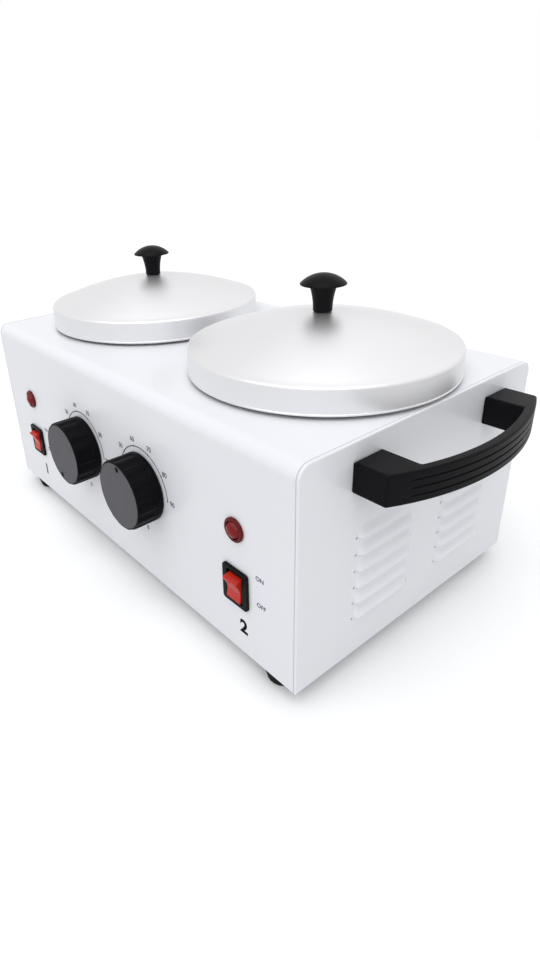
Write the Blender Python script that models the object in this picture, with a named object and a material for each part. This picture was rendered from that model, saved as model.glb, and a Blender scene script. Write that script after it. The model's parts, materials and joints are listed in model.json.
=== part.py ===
"""Double wax warmer: a sheet steel casing with two heated wells, each with a pot under a domed lid."""

import math

import bmesh
import bpy
from mathutils import Matrix, Vector

MM = 0.001
DEGREE = math.pi / 180

# Clearances
touch_gap = 0.3 * MM
cut_overrun = 2 * MM

# Casing: one bent sheet makes the front, the top and the back, and two flanged panels close the sides
casing_bend_radius = 8 * MM
sheet_thickness = 1.2 * MM
panel_thickness = 1.5 * MM
panel_edge_radius = 0.9 * MM
panel_flange_depth = 7 * MM
bend_steps = 5

# Feet and their screws
foot_height = 11.7 * MM
foot_top_radius = 12 * MM
foot_bottom_radius = 9 * MM
foot_edge_radius = 1 * MM
foot_side_inset = 23 * MM
foot_front_inset = 13 * MM
foot_recess_depth = 4 * MM
foot_screw_head_radius = 3.6 * MM
foot_screw_head_height = 2.4 * MM
foot_screw_radius = 1.9 * MM
foot_screw_grip = 6 * MM

# Wells: spun aluminium cups that hang by a flange in the top of the casing
well_setback = 3 * MM
well_radius = 73.5 * MM
well_depth = 98 * MM
well_floor_space = 43 * MM
well_wall = 1.5 * MM
well_corner_radius = 6 * MM
well_flange_reach = 11 * MM
well_flange_thickness = 1.5 * MM
well_hole_clearance = 0.5 * MM

# Band heaters clamped round the wells
band_thickness = 2.5 * MM
band_height = 42 * MM
band_lift = 8 * MM
band_split = 5 * MM
band_lug_reach = 11 * MM
band_lug_thickness = 1.5 * MM
clamp_screw_radius = 1.5 * MM
clamp_screw_head_radius = 3 * MM
clamp_screw_head_height = 2 * MM
clamp_screw_end = 3 * MM

# Lift-out wax pots
pot_side_clearance = 0.8 * MM
pot_floor_clearance = 0.8 * MM
pot_wall = 1.2 * MM
pot_corner_radius = 5 * MM
pot_flange_reach = 7.5 * MM
pot_flange_thickness = 1.2 * MM

# Lids with their knobs
lid_overhang = 0.9 * MM
lid_gap = 18.2 * MM
lid_side_margin = 0.1 * MM
lid_front_margin = 19.6 * MM
lid_bead_reach = 0.8 * MM
lid_bead_height = 1.8 * MM
lid_rim_height = 16 * MM
lid_dome_rise = 15.8 * MM
lid_shoulder_radius = 1.6 * MM
lid_land_radius = 8 * MM
lid_wall = 1.2 * MM
knob_height = 25.4 * MM
knob_cap_radius = 14.25 * MM
knob_cap_rise = 6 * MM
knob_rim_height = 0.7 * MM
knob_stem_radius = 6 * MM
knob_neck_radius = 8 * MM
knob_flare_height = 5.5 * MM
knob_underside_rise = 1.2 * MM
knob_bore_depth = 13 * MM
knob_screw_radius = 1.9 * MM
knob_screw_head_radius = 4.5 * MM
knob_screw_head_height = 2.2 * MM

# Thermostats with their dials, nuts and sensors
dial_spacing = 80 * MM
dial_height = 73 * MM
dial_radius = 24 * MM
dial_depth = 18.8 * MM
dial_standoff = 0.5 * MM
dial_rib_count = 16
dial_rib_depth = 0.8 * MM
dial_collar_depth = 3.6 * MM
dial_flute_slope = 0.5 * MM
dial_face_border = 1.4 * MM
dial_face_bevel = 0.9 * MM
dial_wall = 2.2 * MM
dial_face_thickness = 3 * MM
dial_hub_radius = 5.5 * MM
dial_bore_depth = 9 * MM
left_dial_turn = 18 * DEGREE
right_dial_turn = 186 * DEGREE
spindle_radius = 3 * MM
spindle_seat_depth = 8 * MM
bushing_radius = 5 * MM
bushing_reach = 4.5 * MM
nut_width = 14 * MM
nut_thickness = 2.4 * MM
thermostat_width = 34 * MM
thermostat_depth = 22 * MM
thermostat_edge_radius = 1.5 * MM
sensor_bulb_radius = 2.2 * MM
sensor_bulb_length = 30 * MM
sensor_tube_radius = 0.9 * MM
sensor_neck_length = 2 * MM
sensor_drop = 4 * MM
sensor_bend_radius = 4 * MM
sensor_angle = 33 * DEGREE
sensor_band_clearance = 7 * MM

# Lamps and switches, one above the other on each side
control_side_inset = 47 * MM
lamp_height = 85 * MM
lamp_radius = 8 * MM
lamp_rim_height = 1.6 * MM
lamp_lens_radius = 6.4 * MM
lamp_lens_rise = 2.2 * MM
lamp_lens_middle_share = 0.6
lamp_body_radius = 5.4 * MM
lamp_body_depth = 13 * MM
lamp_nut_radius = 8 * MM
lamp_nut_thickness = 3 * MM
switch_height = 46.8 * MM
bezel_width = 21 * MM
bezel_height = 25 * MM
bezel_corner_radius = 2.2 * MM
bezel_thickness = 1.8 * MM
bezel_edge_slope = 0.5 * MM
switch_body_width = 18 * MM
switch_body_height = 21.6 * MM
switch_body_depth = 22 * MM
switch_well_clearance = 0.5 * MM
switch_well_depth = 10 * MM
rocker_width = 12 * MM
rocker_half_height = 7.9 * MM
rocker_tip_reach = 7 * MM
rocker_valley_reach = 4.8 * MM
rocker_back_reach = 3 * MM
rocker_pivot_depth = 1 * MM
rocker_tilt = 11 * DEGREE
rocker_pin_radius = 1.2 * MM
rocker_pin_length = 1.5 * MM

# Carrying handles on the side panels
handle_drop = 19.5 * MM
handle_setback = 4 * MM
handle_length = 142 * MM
handle_pad_length = 22 * MM
handle_reach = 37.5 * MM
handle_end_reach = 20.4 * MM
handle_grip_thickness = 5.7 * MM
handle_grip_height = 18 * MM
handle_edge_radius = 1.3 * MM
handle_steps = 8
groove_count = 3
groove_spacing = 4.4 * MM
groove_width = 1.3 * MM
groove_depth = 0.7 * MM
groove_end_margin = 10 * MM
groove_steps = 7
handle_screw_radius = 1.9 * MM
handle_screw_head_radius = 3.8 * MM
handle_screw_head_height = 2.2 * MM
handle_screw_grip = 11 * MM

# Louvres pressed in the side panels
louvre_rows = 6
louvre_pitch = 11 * MM
louvre_first_height = 27 * MM
louvre_length = 48 * MM
louvre_height = 7 * MM
louvre_rise = 2.6 * MM
louvre_skin = 0.8 * MM
louvre_end_taper = 3 * MM
louvre_lip_gap = 0.6 * MM
louvre_column_spacing = 79 * MM
louvre_root_share = 0.5
louvre_edge_share = 0.2

# Mains inlet and the wiring in the casing
gland_height = 24 * MM
gland_flange_radius = 9 * MM
gland_flange_thickness = 3 * MM
gland_neck_radius = 7 * MM
gland_bore_radius = 4.3 * MM
gland_edge_radius = 1 * MM
terminal_block_width = 34 * MM
terminal_block_depth = 15 * MM
terminal_block_height = 14 * MM
terminal_block_inset = 30 * MM
terminal_pitch = 11 * MM
terminal_hole_radius = 2.2 * MM
terminal_hole_depth = 6 * MM
lead_radius = 1.2 * MM
lead_bend_radius = 6 * MM
supply_lead_spacing = 16 * MM
lead_loop_room = 14 * MM
switch_lead_depth = 11 * MM
switch_lead_drop = 5 * MM
switch_lead_straight = 12 * MM
heater_lead_drop = 6 * MM
heater_lead_straight = 8 * MM
lug_lead_inset = 2.5 * MM
lug_lead_drop = 5 * MM

# How finely the round pieces are divided
lid_steps = 40
vessel_steps = 32
knob_steps = 20
small_steps = 18
fine_steps = 12
sharp_angle = 30 * DEGREE

# Sizes and places that follow: the wells set the lids, and the lids set the casing
well_flange_radius = well_radius + well_flange_reach
pot_flange_radius = well_radius + pot_flange_reach
lid_radius = well_flange_radius + lid_overhang
well_spacing = 2 * lid_radius + lid_gap
casing_width = well_spacing + 2 * (lid_radius + lid_side_margin)
casing_depth = 2 * (lid_radius + lid_front_margin)
casing_height = well_floor_space + well_depth
handle_height = casing_height - handle_drop
casing_bottom_z = foot_height + touch_gap
front_reach = dial_standoff + dial_depth
back_reach = touch_gap + gland_flange_thickness
casing_shift_y = (front_reach - back_reach) / 2
front_y = -casing_depth / 2
back_y = casing_depth / 2
side_x = casing_width / 2
panel_inner_x = side_x - panel_thickness
well_x = well_spacing / 2
dial_x = dial_spacing / 2
control_x = side_x - control_side_inset
well_flange_bottom = casing_height + touch_gap
well_flange_top = well_flange_bottom + well_flange_thickness
well_bottom = well_floor_space
pot_flange_bottom = well_flange_top + touch_gap
pot_flange_top = pot_flange_bottom + pot_flange_thickness
pot_radius = well_radius - well_wall - pot_side_clearance
pot_bottom = well_bottom + well_wall + pot_floor_clearance
lid_bottom = well_flange_top + touch_gap
lid_rim_top = lid_bottom + lid_rim_height
lid_top = lid_rim_top + lid_dome_rise
band_inner_radius = well_radius + touch_gap
band_outer_radius = band_inner_radius + band_thickness
band_bottom = well_bottom + band_lift
band_top = band_bottom + band_height
lug_tip_radius = band_outer_radius + band_lug_reach
lug_outer_x = band_split / 2 + band_lug_thickness
knob_screw_hole_radius = knob_screw_radius + touch_gap
spindle_bore_radius = spindle_radius + touch_gap
bushing_hole_radius = bushing_radius + touch_gap
lamp_hole_radius = lamp_body_radius + touch_gap
foot_screw_hole_radius = foot_screw_radius + touch_gap
handle_screw_hole_radius = handle_screw_radius + touch_gap
gland_hole_radius = gland_neck_radius + touch_gap
thermostat_front_depth = sheet_thickness + touch_gap
thermostat_back_depth = thermostat_front_depth + thermostat_depth
thermostat_back_y = front_y + thermostat_back_depth
switch_back_y = front_y + switch_body_depth
floor_top = sheet_thickness
lead_floor_height = floor_top + touch_gap + lead_radius
terminal_block_y = back_y - terminal_block_inset
terminal_front_y = terminal_block_y - terminal_block_depth / 2
handle_screw_offset = (handle_length - handle_pad_length) / 2
facing_front = math.pi / 2
SIDES = {"left": -1, "right": 1}


# Shapes

def to_bmesh(rings, closed_ends=(), loop=False):
    """Rings of points joined by faces, with a face over each named end; a ring of one point is a pole."""
    bm = bmesh.new()
    made = [[bm.verts.new(point) for point in ring] for ring in rings]
    pairs = list(zip(made, made[1:]))
    if loop:
        pairs.append((made[-1], made[0]))
    for first, second in pairs:
        count = max(len(first), len(second))
        for index in range(count):
            after = (index + 1) % count
            corners = [first[index % len(first)], first[after % len(first)]]
            corners += [second[after % len(second)], second[index % len(second)]]
            bm.faces.new(list(dict.fromkeys(corners)))
    for end in closed_ends:
        bm.faces.new(made[end])
    return bm


def turned(profile, steps):
    """A body turned round Z from (radius, height) points, from axis to axis or as a closed ring."""
    rings = []
    for radius, height in profile:
        if radius == 0:
            rings.append([(0, 0, height)])
            continue
        angles = [2 * math.pi * step / steps for step in range(steps)]
        rings.append([(radius * math.cos(angle), radius * math.sin(angle), height) for angle in angles])
    return to_bmesh(rings, loop=profile[0][0] > 0)


def extruded(outline, low, high, direction="Z"):
    """A flat outline drawn out from low to high along one axis."""
    return to_bmesh([on_plane(outline, place, direction) for place in (low, high)], closed_ends=(0, -1))


def on_plane(outline, place, direction):
    """The points of a flat outline set square to one axis at a place along it."""
    if direction == "X":
        return [(place, first, second) for first, second in outline]
    if direction == "Y":
        return [(first, place, second) for first, second in outline]
    return [(first, second, place) for first, second in outline]


def block(width, depth, height, center=(0, 0, 0)):
    """A plain block round its center."""
    outline = rounded_rectangle(width, depth, 0, 1)
    bm = extruded(outline, -height / 2, height / 2)
    return moved(bm, center)


def disc(radius, low, high, steps):
    """A plain cylinder on Z."""
    return turned([(0, low), (radius, low), (radius, high), (0, high)], steps)


def moved(bm, offset, turn=None):
    """The same body turned by a matrix, if one is given, and then shifted."""
    matrix = Matrix.Translation(offset)
    if turn is not None:
        matrix = matrix @ turn
    bmesh.ops.transform(bm, matrix=matrix, verts=bm.verts)
    return bm


def gathered(bodies):
    """Several bodies in one mesh."""
    result = bmesh.new()
    for body in bodies:
        mesh = bpy.data.meshes.new("gathered")
        bmesh.ops.recalc_face_normals(body, faces=body.faces)
        body.to_mesh(mesh)
        body.free()
        result.from_mesh(mesh)
        bpy.data.meshes.remove(mesh)
    return result


def arc(center, radius, start, end, steps):
    """Points along an arc, both ends included."""
    points = []
    for step in range(steps + 1):
        angle = start + (end - start) * step / steps
        points.append((center[0] + radius * math.cos(angle), center[1] + radius * math.sin(angle)))
    return points


def rounded_rectangle(width, height, radius, steps):
    """The outline of a rectangle round the middle, with its corners rounded where radius is over zero."""
    half_width = width / 2 - radius
    half_height = height / 2 - radius
    points = []
    for quarter, (across, up) in enumerate(((1, 1), (-1, 1), (-1, -1), (1, -1))):
        center = (across * half_width, up * half_height)
        if radius == 0:
            points.append(center)
        else:
            start = quarter * math.pi / 2
            points += arc(center, radius, start, start + math.pi / 2, steps)
    return points


def casing_outline(inset, bottom_inset):
    """The casing's side view as (y, z) points from the front bottom corner over the top to the back."""
    radius = casing_bend_radius - inset
    center_y = casing_depth / 2 - casing_bend_radius
    center_z = casing_height - casing_bend_radius
    points = [(front_y + inset, bottom_inset)]
    points += arc((-center_y, center_z), radius, math.pi, math.pi / 2, bend_steps)
    points += arc((center_y, center_z), radius, math.pi / 2, 0, bend_steps)
    points.append((back_y - inset, bottom_inset))
    return points


# Objects

def make_material(name, colour, roughness, metallic=0.0):
    """A plain material in the part's colour."""
    material = bpy.data.materials.new(name)
    material.use_nodes = True
    shader = material.node_tree.nodes["Principled BSDF"]
    shader.inputs["Base Color"].default_value = (*colour, 1.0)
    shader.inputs["Roughness"].default_value = roughness
    shader.inputs["Metallic"].default_value = metallic
    material.diffuse_color = (*colour, 1.0)
    return material


def add_object(name, data, location, rotation):
    """An object placed in the casing's own frame."""
    obj = bpy.data.objects.new(name, data)
    obj.location = location
    obj.rotation_euler = rotation
    obj.parent = casing_frame
    bpy.context.scene.collection.objects.link(obj)
    return obj


def add_piece(name, bm, material, location=(0, 0, 0), rotation=(0, 0, 0)):
    """A named piece of the warmer with its material, smooth where it is round."""
    bmesh.ops.recalc_face_normals(bm, faces=bm.faces)
    mesh = bpy.data.meshes.new(name)
    bm.to_mesh(mesh)
    bm.free()
    mesh.shade_smooth()
    mesh.set_sharp_from_angle(angle=sharp_angle)
    mesh.materials.append(material)
    return add_object(name, mesh, location, rotation)


def add_helper(name, bm, location=(0, 0, 0), rotation=(0, 0, 0)):
    """A body that cuts or joins a piece and isn't a piece itself."""
    bmesh.ops.recalc_face_normals(bm, faces=bm.faces)
    mesh = bpy.data.meshes.new(name)
    bm.to_mesh(mesh)
    bm.free()
    helper = add_object(name, mesh, location, rotation)
    helper.hide_render = True
    helper.display_type = "WIRE"
    return helper


def combine(piece, helper, operation):
    """A Boolean of the piece with a helper: DIFFERENCE cuts it out, UNION adds it."""
    modifier = piece.modifiers.new(helper.name, "BOOLEAN")
    modifier.operation = operation
    modifier.object = helper
    modifier.solver = "EXACT"


def add_wire(name, route, radii, material, bevel_resolution):
    """A round wire along a route of points, each with its own radius, with flat ends."""
    curve = bpy.data.curves.new(name, "CURVE")
    curve.dimensions = "3D"
    curve.bevel_depth = 1.0
    curve.bevel_resolution = bevel_resolution
    curve.use_fill_caps = True
    spline = curve.splines.new("POLY")
    spline.points.add(len(route) - 1)
    for point, place, radius in zip(spline.points, route, radii):
        point.co = (*place, 1.0)
        point.radius = radius
    curve.materials.append(material)
    return add_object(name, curve, (0, 0, 0), (0, 0, 0))


def rounded_route(corners, bend_radius, steps):
    """A route through corners, with every inner corner rounded."""
    points = [Vector(corners[0])]
    for before, corner, after in zip(corners, corners[1:], corners[2:]):
        corner = Vector(corner)
        arriving = (corner - Vector(before)).normalized()
        leaving = (Vector(after) - corner).normalized()
        start = corner - arriving * bend_radius
        end = corner + leaving * bend_radius
        for step in range(steps + 1):
            share = step / steps
            first = start.lerp(corner, share)
            points.append(first.lerp(corner.lerp(end, share), share))
    points.append(Vector(corners[-1]))
    return points


# The scene starts empty, with one empty object at the middle of the casing's underside

for old in list(bpy.data.objects):
    bpy.data.objects.remove(old, do_unlink=True)

casing_frame = bpy.data.objects.new("casing_frame", None)
casing_frame.location = (0, casing_shift_y, casing_bottom_z)
bpy.context.scene.collection.objects.link(casing_frame)

white_paint = make_material("white_paint", (0.86, 0.87, 0.89), 0.28)
satin_aluminium = make_material("satin_aluminium", (0.78, 0.78, 0.80), 0.34, 1.0)
black_plastic = make_material("black_plastic", (0.022, 0.022, 0.025), 0.42)
dial_plastic = make_material("dial_plastic", (0.055, 0.054, 0.060), 0.45)
red_plastic = make_material("red_plastic", (0.62, 0.028, 0.018), 0.25)
black_rubber = make_material("black_rubber", (0.018, 0.018, 0.018), 0.8)
plated_steel = make_material("plated_steel", (0.66, 0.67, 0.68), 0.3, 1.0)
heater_steel = make_material("heater_steel", (0.52, 0.53, 0.54), 0.45, 1.0)
copper = make_material("copper", (0.72, 0.36, 0.20), 0.3, 1.0)
cream_plastic = make_material("cream_plastic", (0.78, 0.74, 0.62), 0.5)
brown_sleeve = make_material("brown_sleeve", (0.20, 0.075, 0.035), 0.55)
white_sleeve = make_material("white_sleeve", (0.78, 0.76, 0.72), 0.6)
grey_plastic = make_material("grey_plastic", (0.16, 0.16, 0.17), 0.5)


# Casing wrap: front, top and back in one sheet, with holes for all that passes through

def make_casing_wrap():
    outer = casing_outline(0, 0)
    inner = casing_outline(sheet_thickness, 0)
    wrap_x = panel_inner_x - touch_gap
    rings = [on_plane(line, end, "X") for end, line in
             ((-wrap_x, outer), (wrap_x, outer), (wrap_x, inner), (-wrap_x, inner))]
    bm = bmesh.new()
    made = [[bm.verts.new(point) for point in ring] for ring in rings]
    last = len(outer) - 1
    for first, second in zip(made, made[1:] + made[:1]):
        for index in range(last):
            bm.faces.new((first[index], first[index + 1], second[index + 1], second[index]))
    bm.faces.new([ring[0] for ring in made])
    bm.faces.new([ring[last] for ring in made])
    wrap = add_piece("casing_wrap", bm, white_paint)
    combine(wrap, add_helper("well_holes", make_well_holes()), "DIFFERENCE")
    combine(wrap, add_helper("front_holes", make_front_holes()), "DIFFERENCE")
    gland_hole = disc(gland_hole_radius, -cut_overrun, sheet_thickness + cut_overrun, small_steps)
    helper = add_helper("gland_hole", gland_hole, (0, back_y, gland_height), (facing_front, 0, 0))
    combine(wrap, helper, "DIFFERENCE")


def make_well_holes():
    holes = []
    for sign in SIDES.values():
        low = -sheet_thickness - cut_overrun
        hole = disc(well_radius + well_hole_clearance, low, cut_overrun, vessel_steps)
        holes.append(moved(hole, (sign * well_x, well_setback, casing_height)))
    return gathered(holes)


def make_front_holes():
    """Holes through the front for the thermostats, the lamps and the switches."""
    low = -sheet_thickness - cut_overrun
    quarter_turn = Matrix.Rotation(facing_front, 4, "X")
    holes = []
    for sign in SIDES.values():
        bushing = disc(bushing_hole_radius, low, cut_overrun, small_steps)
        holes.append(moved(bushing, (sign * dial_x, front_y, dial_height), quarter_turn))
        lamp = disc(lamp_hole_radius, low, cut_overrun, small_steps)
        holes.append(moved(lamp, (sign * control_x, front_y, lamp_height), quarter_turn))
        width = switch_body_width + 2 * touch_gap
        height = switch_body_height + 2 * touch_gap
        switch = extruded(rounded_rectangle(width, height, 0, 1), low, cut_overrun)
        holes.append(moved(switch, (sign * control_x, front_y, switch_height), quarter_turn))
    return gathered(holes)


# Side panels: a flat plate with a rounded edge, a flange that slides inside the wrap, and pressed louvres

def make_side_panel(side, sign):
    flange_inset = sheet_thickness + touch_gap
    flange_inner = flange_inset + sheet_thickness
    flange_end = panel_inner_x - panel_flange_depth
    edge = panel_edge_radius
    softened = edge * (1 - math.sqrt(1 / 2))
    levels = [(side_x, edge), (side_x - softened, softened), (side_x - edge, 0), (panel_inner_x, 0)]
    levels += [(panel_inner_x, flange_inset), (flange_end, flange_inset)]
    levels += [(flange_end, flange_inner), (panel_inner_x, flange_inner)]
    rings = [on_plane(casing_outline(inset, inset), sign * place, "X") for place, inset in levels]
    panel = add_piece(side + "_side_panel", to_bmesh(rings, closed_ends=(0, -1)), white_paint)
    hoods, hollows = [], []
    for column in (-1, 1):
        for row in range(louvre_rows):
            center_y = handle_setback + column * louvre_column_spacing / 2
            bottom_z = louvre_first_height + row * louvre_pitch
            hoods.append(louvre_body(sign, center_y, bottom_z, hollow=False))
            hollows.append(louvre_body(sign, center_y, bottom_z, hollow=True))
    for place in (-1, 1):
        hole = disc(handle_screw_hole_radius, panel_inner_x - cut_overrun, side_x + cut_overrun, fine_steps)
        spot = (0, handle_setback + place * handle_screw_offset, handle_height)
        hollows.append(moved(hole, spot, Matrix.Rotation(sign * math.pi / 2, 4, "Y")))
    combine(panel, add_helper(side + "_louvre_hoods", gathered(hoods)), "UNION")
    combine(panel, add_helper(side + "_panel_openings", gathered(hollows)), "DIFFERENCE")


def louvre_body(sign, center_y, bottom_z, hollow):
    """One louvre's outer hood, or the space under it that is open below and through the sheet."""
    skin = louvre_skin if hollow else 0
    half_length = louvre_length / 2 - skin
    crown_half = half_length - louvre_end_taper
    crown = sign * (side_x + louvre_rise - skin)
    edge = sign * (side_x - louvre_edge_share * panel_thickness)
    root_depth = panel_thickness + cut_overrun if hollow else louvre_root_share * panel_thickness
    root = sign * (side_x - root_depth)
    bottom = bottom_z - (louvre_lip_gap if hollow else 0)
    top = bottom_z + louvre_height - (louvre_skin + louvre_lip_gap if hollow else 0)
    near, far = center_y - half_length, center_y + half_length
    outline = [(near, bottom), (far, bottom), (far, top), (near, top)]
    bm = to_bmesh([on_plane(outline, place, "X") for place in (root, edge)], closed_ends=(0,))
    bm.verts.ensure_lookup_table()
    low_near, low_far, high_far, high_near = bm.verts[-len(outline):]
    crown_near = bm.verts.new((crown, center_y - crown_half, bottom))
    crown_far = bm.verts.new((crown, center_y + crown_half, bottom))
    bm.faces.new((low_near, low_far, crown_far, crown_near))
    bm.faces.new((crown_near, crown_far, high_far, high_near))
    bm.faces.new((low_near, crown_near, high_near))
    bm.faces.new((low_far, high_far, crown_far))
    return bm


# Base plate and feet

def make_base_plate():
    inset = sheet_thickness + touch_gap
    width = 2 * (panel_inner_x - touch_gap)
    plate = block(width, casing_depth - 2 * inset, sheet_thickness, (0, 0, sheet_thickness / 2))
    base = add_piece("base_plate", plate, white_paint)
    holes = []
    for spot in foot_spots().values():
        hole = disc(foot_screw_hole_radius, -cut_overrun, sheet_thickness + cut_overrun, fine_steps)
        holes.append(moved(hole, spot))
    combine(base, add_helper("foot_holes", gathered(holes)), "DIFFERENCE")


def foot_spots():
    spots = {}
    for side, sign in SIDES.items():
        spot_x = sign * (side_x - foot_side_inset)
        spots["front_" + side] = (spot_x, front_y + foot_front_inset, 0)
        spots["back_" + side] = (spot_x, back_y - foot_front_inset, 0)
    return spots


def make_feet():
    recess_radius = foot_screw_head_radius + touch_gap
    low = -casing_bottom_z
    recess_top = low + foot_recess_depth
    profile = [(recess_radius, low), (foot_bottom_radius - foot_edge_radius, low)]
    profile += [(foot_bottom_radius, low + foot_edge_radius), (foot_top_radius, -touch_gap)]
    profile += [(foot_screw_hole_radius, -touch_gap), (foot_screw_hole_radius, recess_top)]
    profile += [(recess_radius, recess_top)]
    head_top = recess_top - touch_gap
    head_bottom = head_top - foot_screw_head_height
    screw_top = floor_top + foot_screw_grip
    screw = [(0, head_bottom), (foot_screw_head_radius, head_bottom), (foot_screw_head_radius, head_top)]
    screw += [(foot_screw_radius, head_top), (foot_screw_radius, screw_top), (0, screw_top)]
    for place, spot in foot_spots().items():
        add_piece(place + "_foot", turned(profile, fine_steps), black_rubber, spot)
        add_piece(place + "_foot_screw", turned(screw, fine_steps), plated_steel, spot)


# Wells, pots and lids, each turned round its own upright axis

def cup_profile(radius, wall, corner, bottom, flange_radius, flange_bottom, flange_top):
    """A flat-bottomed cup with a level flange round its mouth."""
    inner_corner = corner - wall
    floor = bottom + wall
    profile = [(0, bottom)]
    profile += arc((radius - corner, bottom + corner), corner, -math.pi / 2, 0, 1)
    profile += [(radius, flange_bottom), (flange_radius, flange_bottom), (flange_radius, flange_top)]
    profile += [(radius - wall, flange_top)]
    profile += arc((radius - corner, floor + inner_corner), inner_corner, 0, -math.pi / 2, 1)
    profile += [(0, floor)]
    return profile


def make_well(side, sign):
    profile = cup_profile(well_radius, well_wall, well_corner_radius, well_bottom,
                          well_flange_radius, well_flange_bottom, well_flange_top)
    spot = (sign * well_x, well_setback, 0)
    add_piece(side + "_heating_well", turned(profile, vessel_steps), satin_aluminium, spot)


def make_pot(side, sign):
    profile = cup_profile(pot_radius, pot_wall, pot_corner_radius, pot_bottom,
                          pot_flange_radius, pot_flange_bottom, pot_flange_top)
    spot = (sign * well_x, well_setback, 0)
    add_piece(side + "_wax_pot", turned(profile, vessel_steps), satin_aluminium, spot)


def dome_points(radius, rise, base, land, steps):
    """Points of a shallow dome from a flat land at the middle out to its edge."""
    sphere = (radius ** 2 + rise ** 2) / (2 * rise)
    center = base + rise - sphere
    points = [(land, base + rise)]
    for step in range(1, steps + 1):
        out = land + (radius - land) * step / steps
        points.append((out, center + math.sqrt(sphere ** 2 - out ** 2)))
    return points


def make_lid(side, sign):
    inner_radius = lid_radius - lid_wall
    shoulder = lid_shoulder_radius
    outside = dome_points(lid_radius - shoulder, lid_dome_rise, lid_rim_top, lid_land_radius, 3)
    shoulder_center = (lid_radius - shoulder, lid_rim_top - shoulder)
    outside += arc(shoulder_center, shoulder, math.pi / 2, 0, 2)[1:]
    bead_top = lid_bottom + lid_bead_height
    bead_radius = lid_radius + lid_bead_reach
    outside += [(lid_radius, bead_top), (bead_radius, bead_top - lid_bead_reach)]
    outside += [(bead_radius, lid_bottom), (inner_radius, lid_bottom)]
    inside = dome_points(inner_radius - shoulder, lid_dome_rise, lid_rim_top - lid_wall, lid_land_radius, 2)
    inside.append((inner_radius, lid_rim_top - lid_wall - shoulder))
    profile = [(knob_screw_hole_radius, lid_top)] + outside + inside[::-1]
    profile.append((knob_screw_hole_radius, lid_top - lid_wall))
    spot = (sign * well_x, well_setback, 0)
    add_piece(side + "_lid", turned(profile, lid_steps), satin_aluminium, spot)


def make_lid_knob(side, sign):
    base = lid_top + touch_gap
    top = base + knob_height
    rim_top = top - knob_cap_rise
    rim_bottom = rim_top - knob_rim_height
    neck = rim_bottom - knob_underside_rise
    bore_top = base + knob_bore_depth
    profile = [(0, bore_top), (knob_screw_hole_radius, bore_top), (knob_screw_hole_radius, base)]
    profile += [(knob_stem_radius, base)]
    for step in range(4):
        share = step / 3
        flare = knob_stem_radius + (knob_neck_radius - knob_stem_radius) * share ** 2
        profile.append((flare, neck - knob_flare_height * (1 - share)))
    profile += [(knob_cap_radius, rim_bottom), (knob_cap_radius, rim_top)]
    sphere = (knob_cap_radius ** 2 + knob_cap_rise ** 2) / (2 * knob_cap_rise)
    for step in range(1, 3):
        out = knob_cap_radius * (1 - step / 3)
        profile.append((out, top - sphere + math.sqrt(sphere ** 2 - out ** 2)))
    profile.append((0, top))
    spot = (sign * well_x, well_setback, 0)
    add_piece(side + "_lid_knob", turned(profile, knob_steps), black_plastic, spot)
    head_top = lid_top - lid_wall - touch_gap
    head_bottom = head_top - knob_screw_head_height
    tip = bore_top - touch_gap
    screw = [(0, head_bottom), (knob_screw_head_radius, head_bottom), (knob_screw_head_radius, head_top)]
    screw += [(knob_screw_radius, head_top), (knob_screw_radius, tip), (0, tip)]
    add_piece(side + "_lid_knob_screw", turned(screw, fine_steps), plated_steel, spot)


# Band heaters: a split ring with two lugs at the front, drawn together by a screw

def make_band_heater(side, sign):
    inner_half = math.asin(band_split / 2 / band_inner_radius)
    outer_half = math.asin(lug_outer_x / band_outer_radius)
    start = -math.pi / 2
    end = start + 2 * math.pi
    outline = arc((0, 0), band_inner_radius, start + inner_half, end - inner_half, vessel_steps)
    outline += [(-band_split / 2, -lug_tip_radius), (-lug_outer_x, -lug_tip_radius)]
    outline += arc((0, 0), band_outer_radius, end - outer_half, start + outer_half, vessel_steps)
    outline += [(lug_outer_x, -lug_tip_radius), (band_split / 2, -lug_tip_radius)]
    spot = (sign * well_x, well_setback, 0)
    band = add_piece(side + "_band_heater", extruded(outline, band_bottom, band_top), heater_steel, spot)
    screw_y = -(band_outer_radius + lug_tip_radius) / 2
    screw_z = (band_bottom + band_top) / 2
    along_x = Matrix.Rotation(math.pi / 2, 4, "Y")
    reach = lug_outer_x + cut_overrun
    hole = disc(clamp_screw_radius + touch_gap, -reach, reach, fine_steps)
    hole = moved(hole, (0, screw_y, screw_z), along_x)
    combine(band, add_helper(side + "_clamp_hole", hole, spot), "DIFFERENCE")
    head_low = lug_outer_x + touch_gap
    head_high = head_low + clamp_screw_head_height
    tip = -lug_outer_x - clamp_screw_end
    screw = [(0, tip), (clamp_screw_radius, tip), (clamp_screw_radius, head_low)]
    screw += [(clamp_screw_head_radius, head_low), (clamp_screw_head_radius, head_high), (0, head_high)]
    body = moved(turned(screw, fine_steps), (0, screw_y, screw_z), along_x)
    add_piece(side + "_band_clamp_screw", body, plated_steel, spot)


# Thermostats: the dial and its spindle turn, and the body, its bushing and its nut hold to the front

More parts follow.
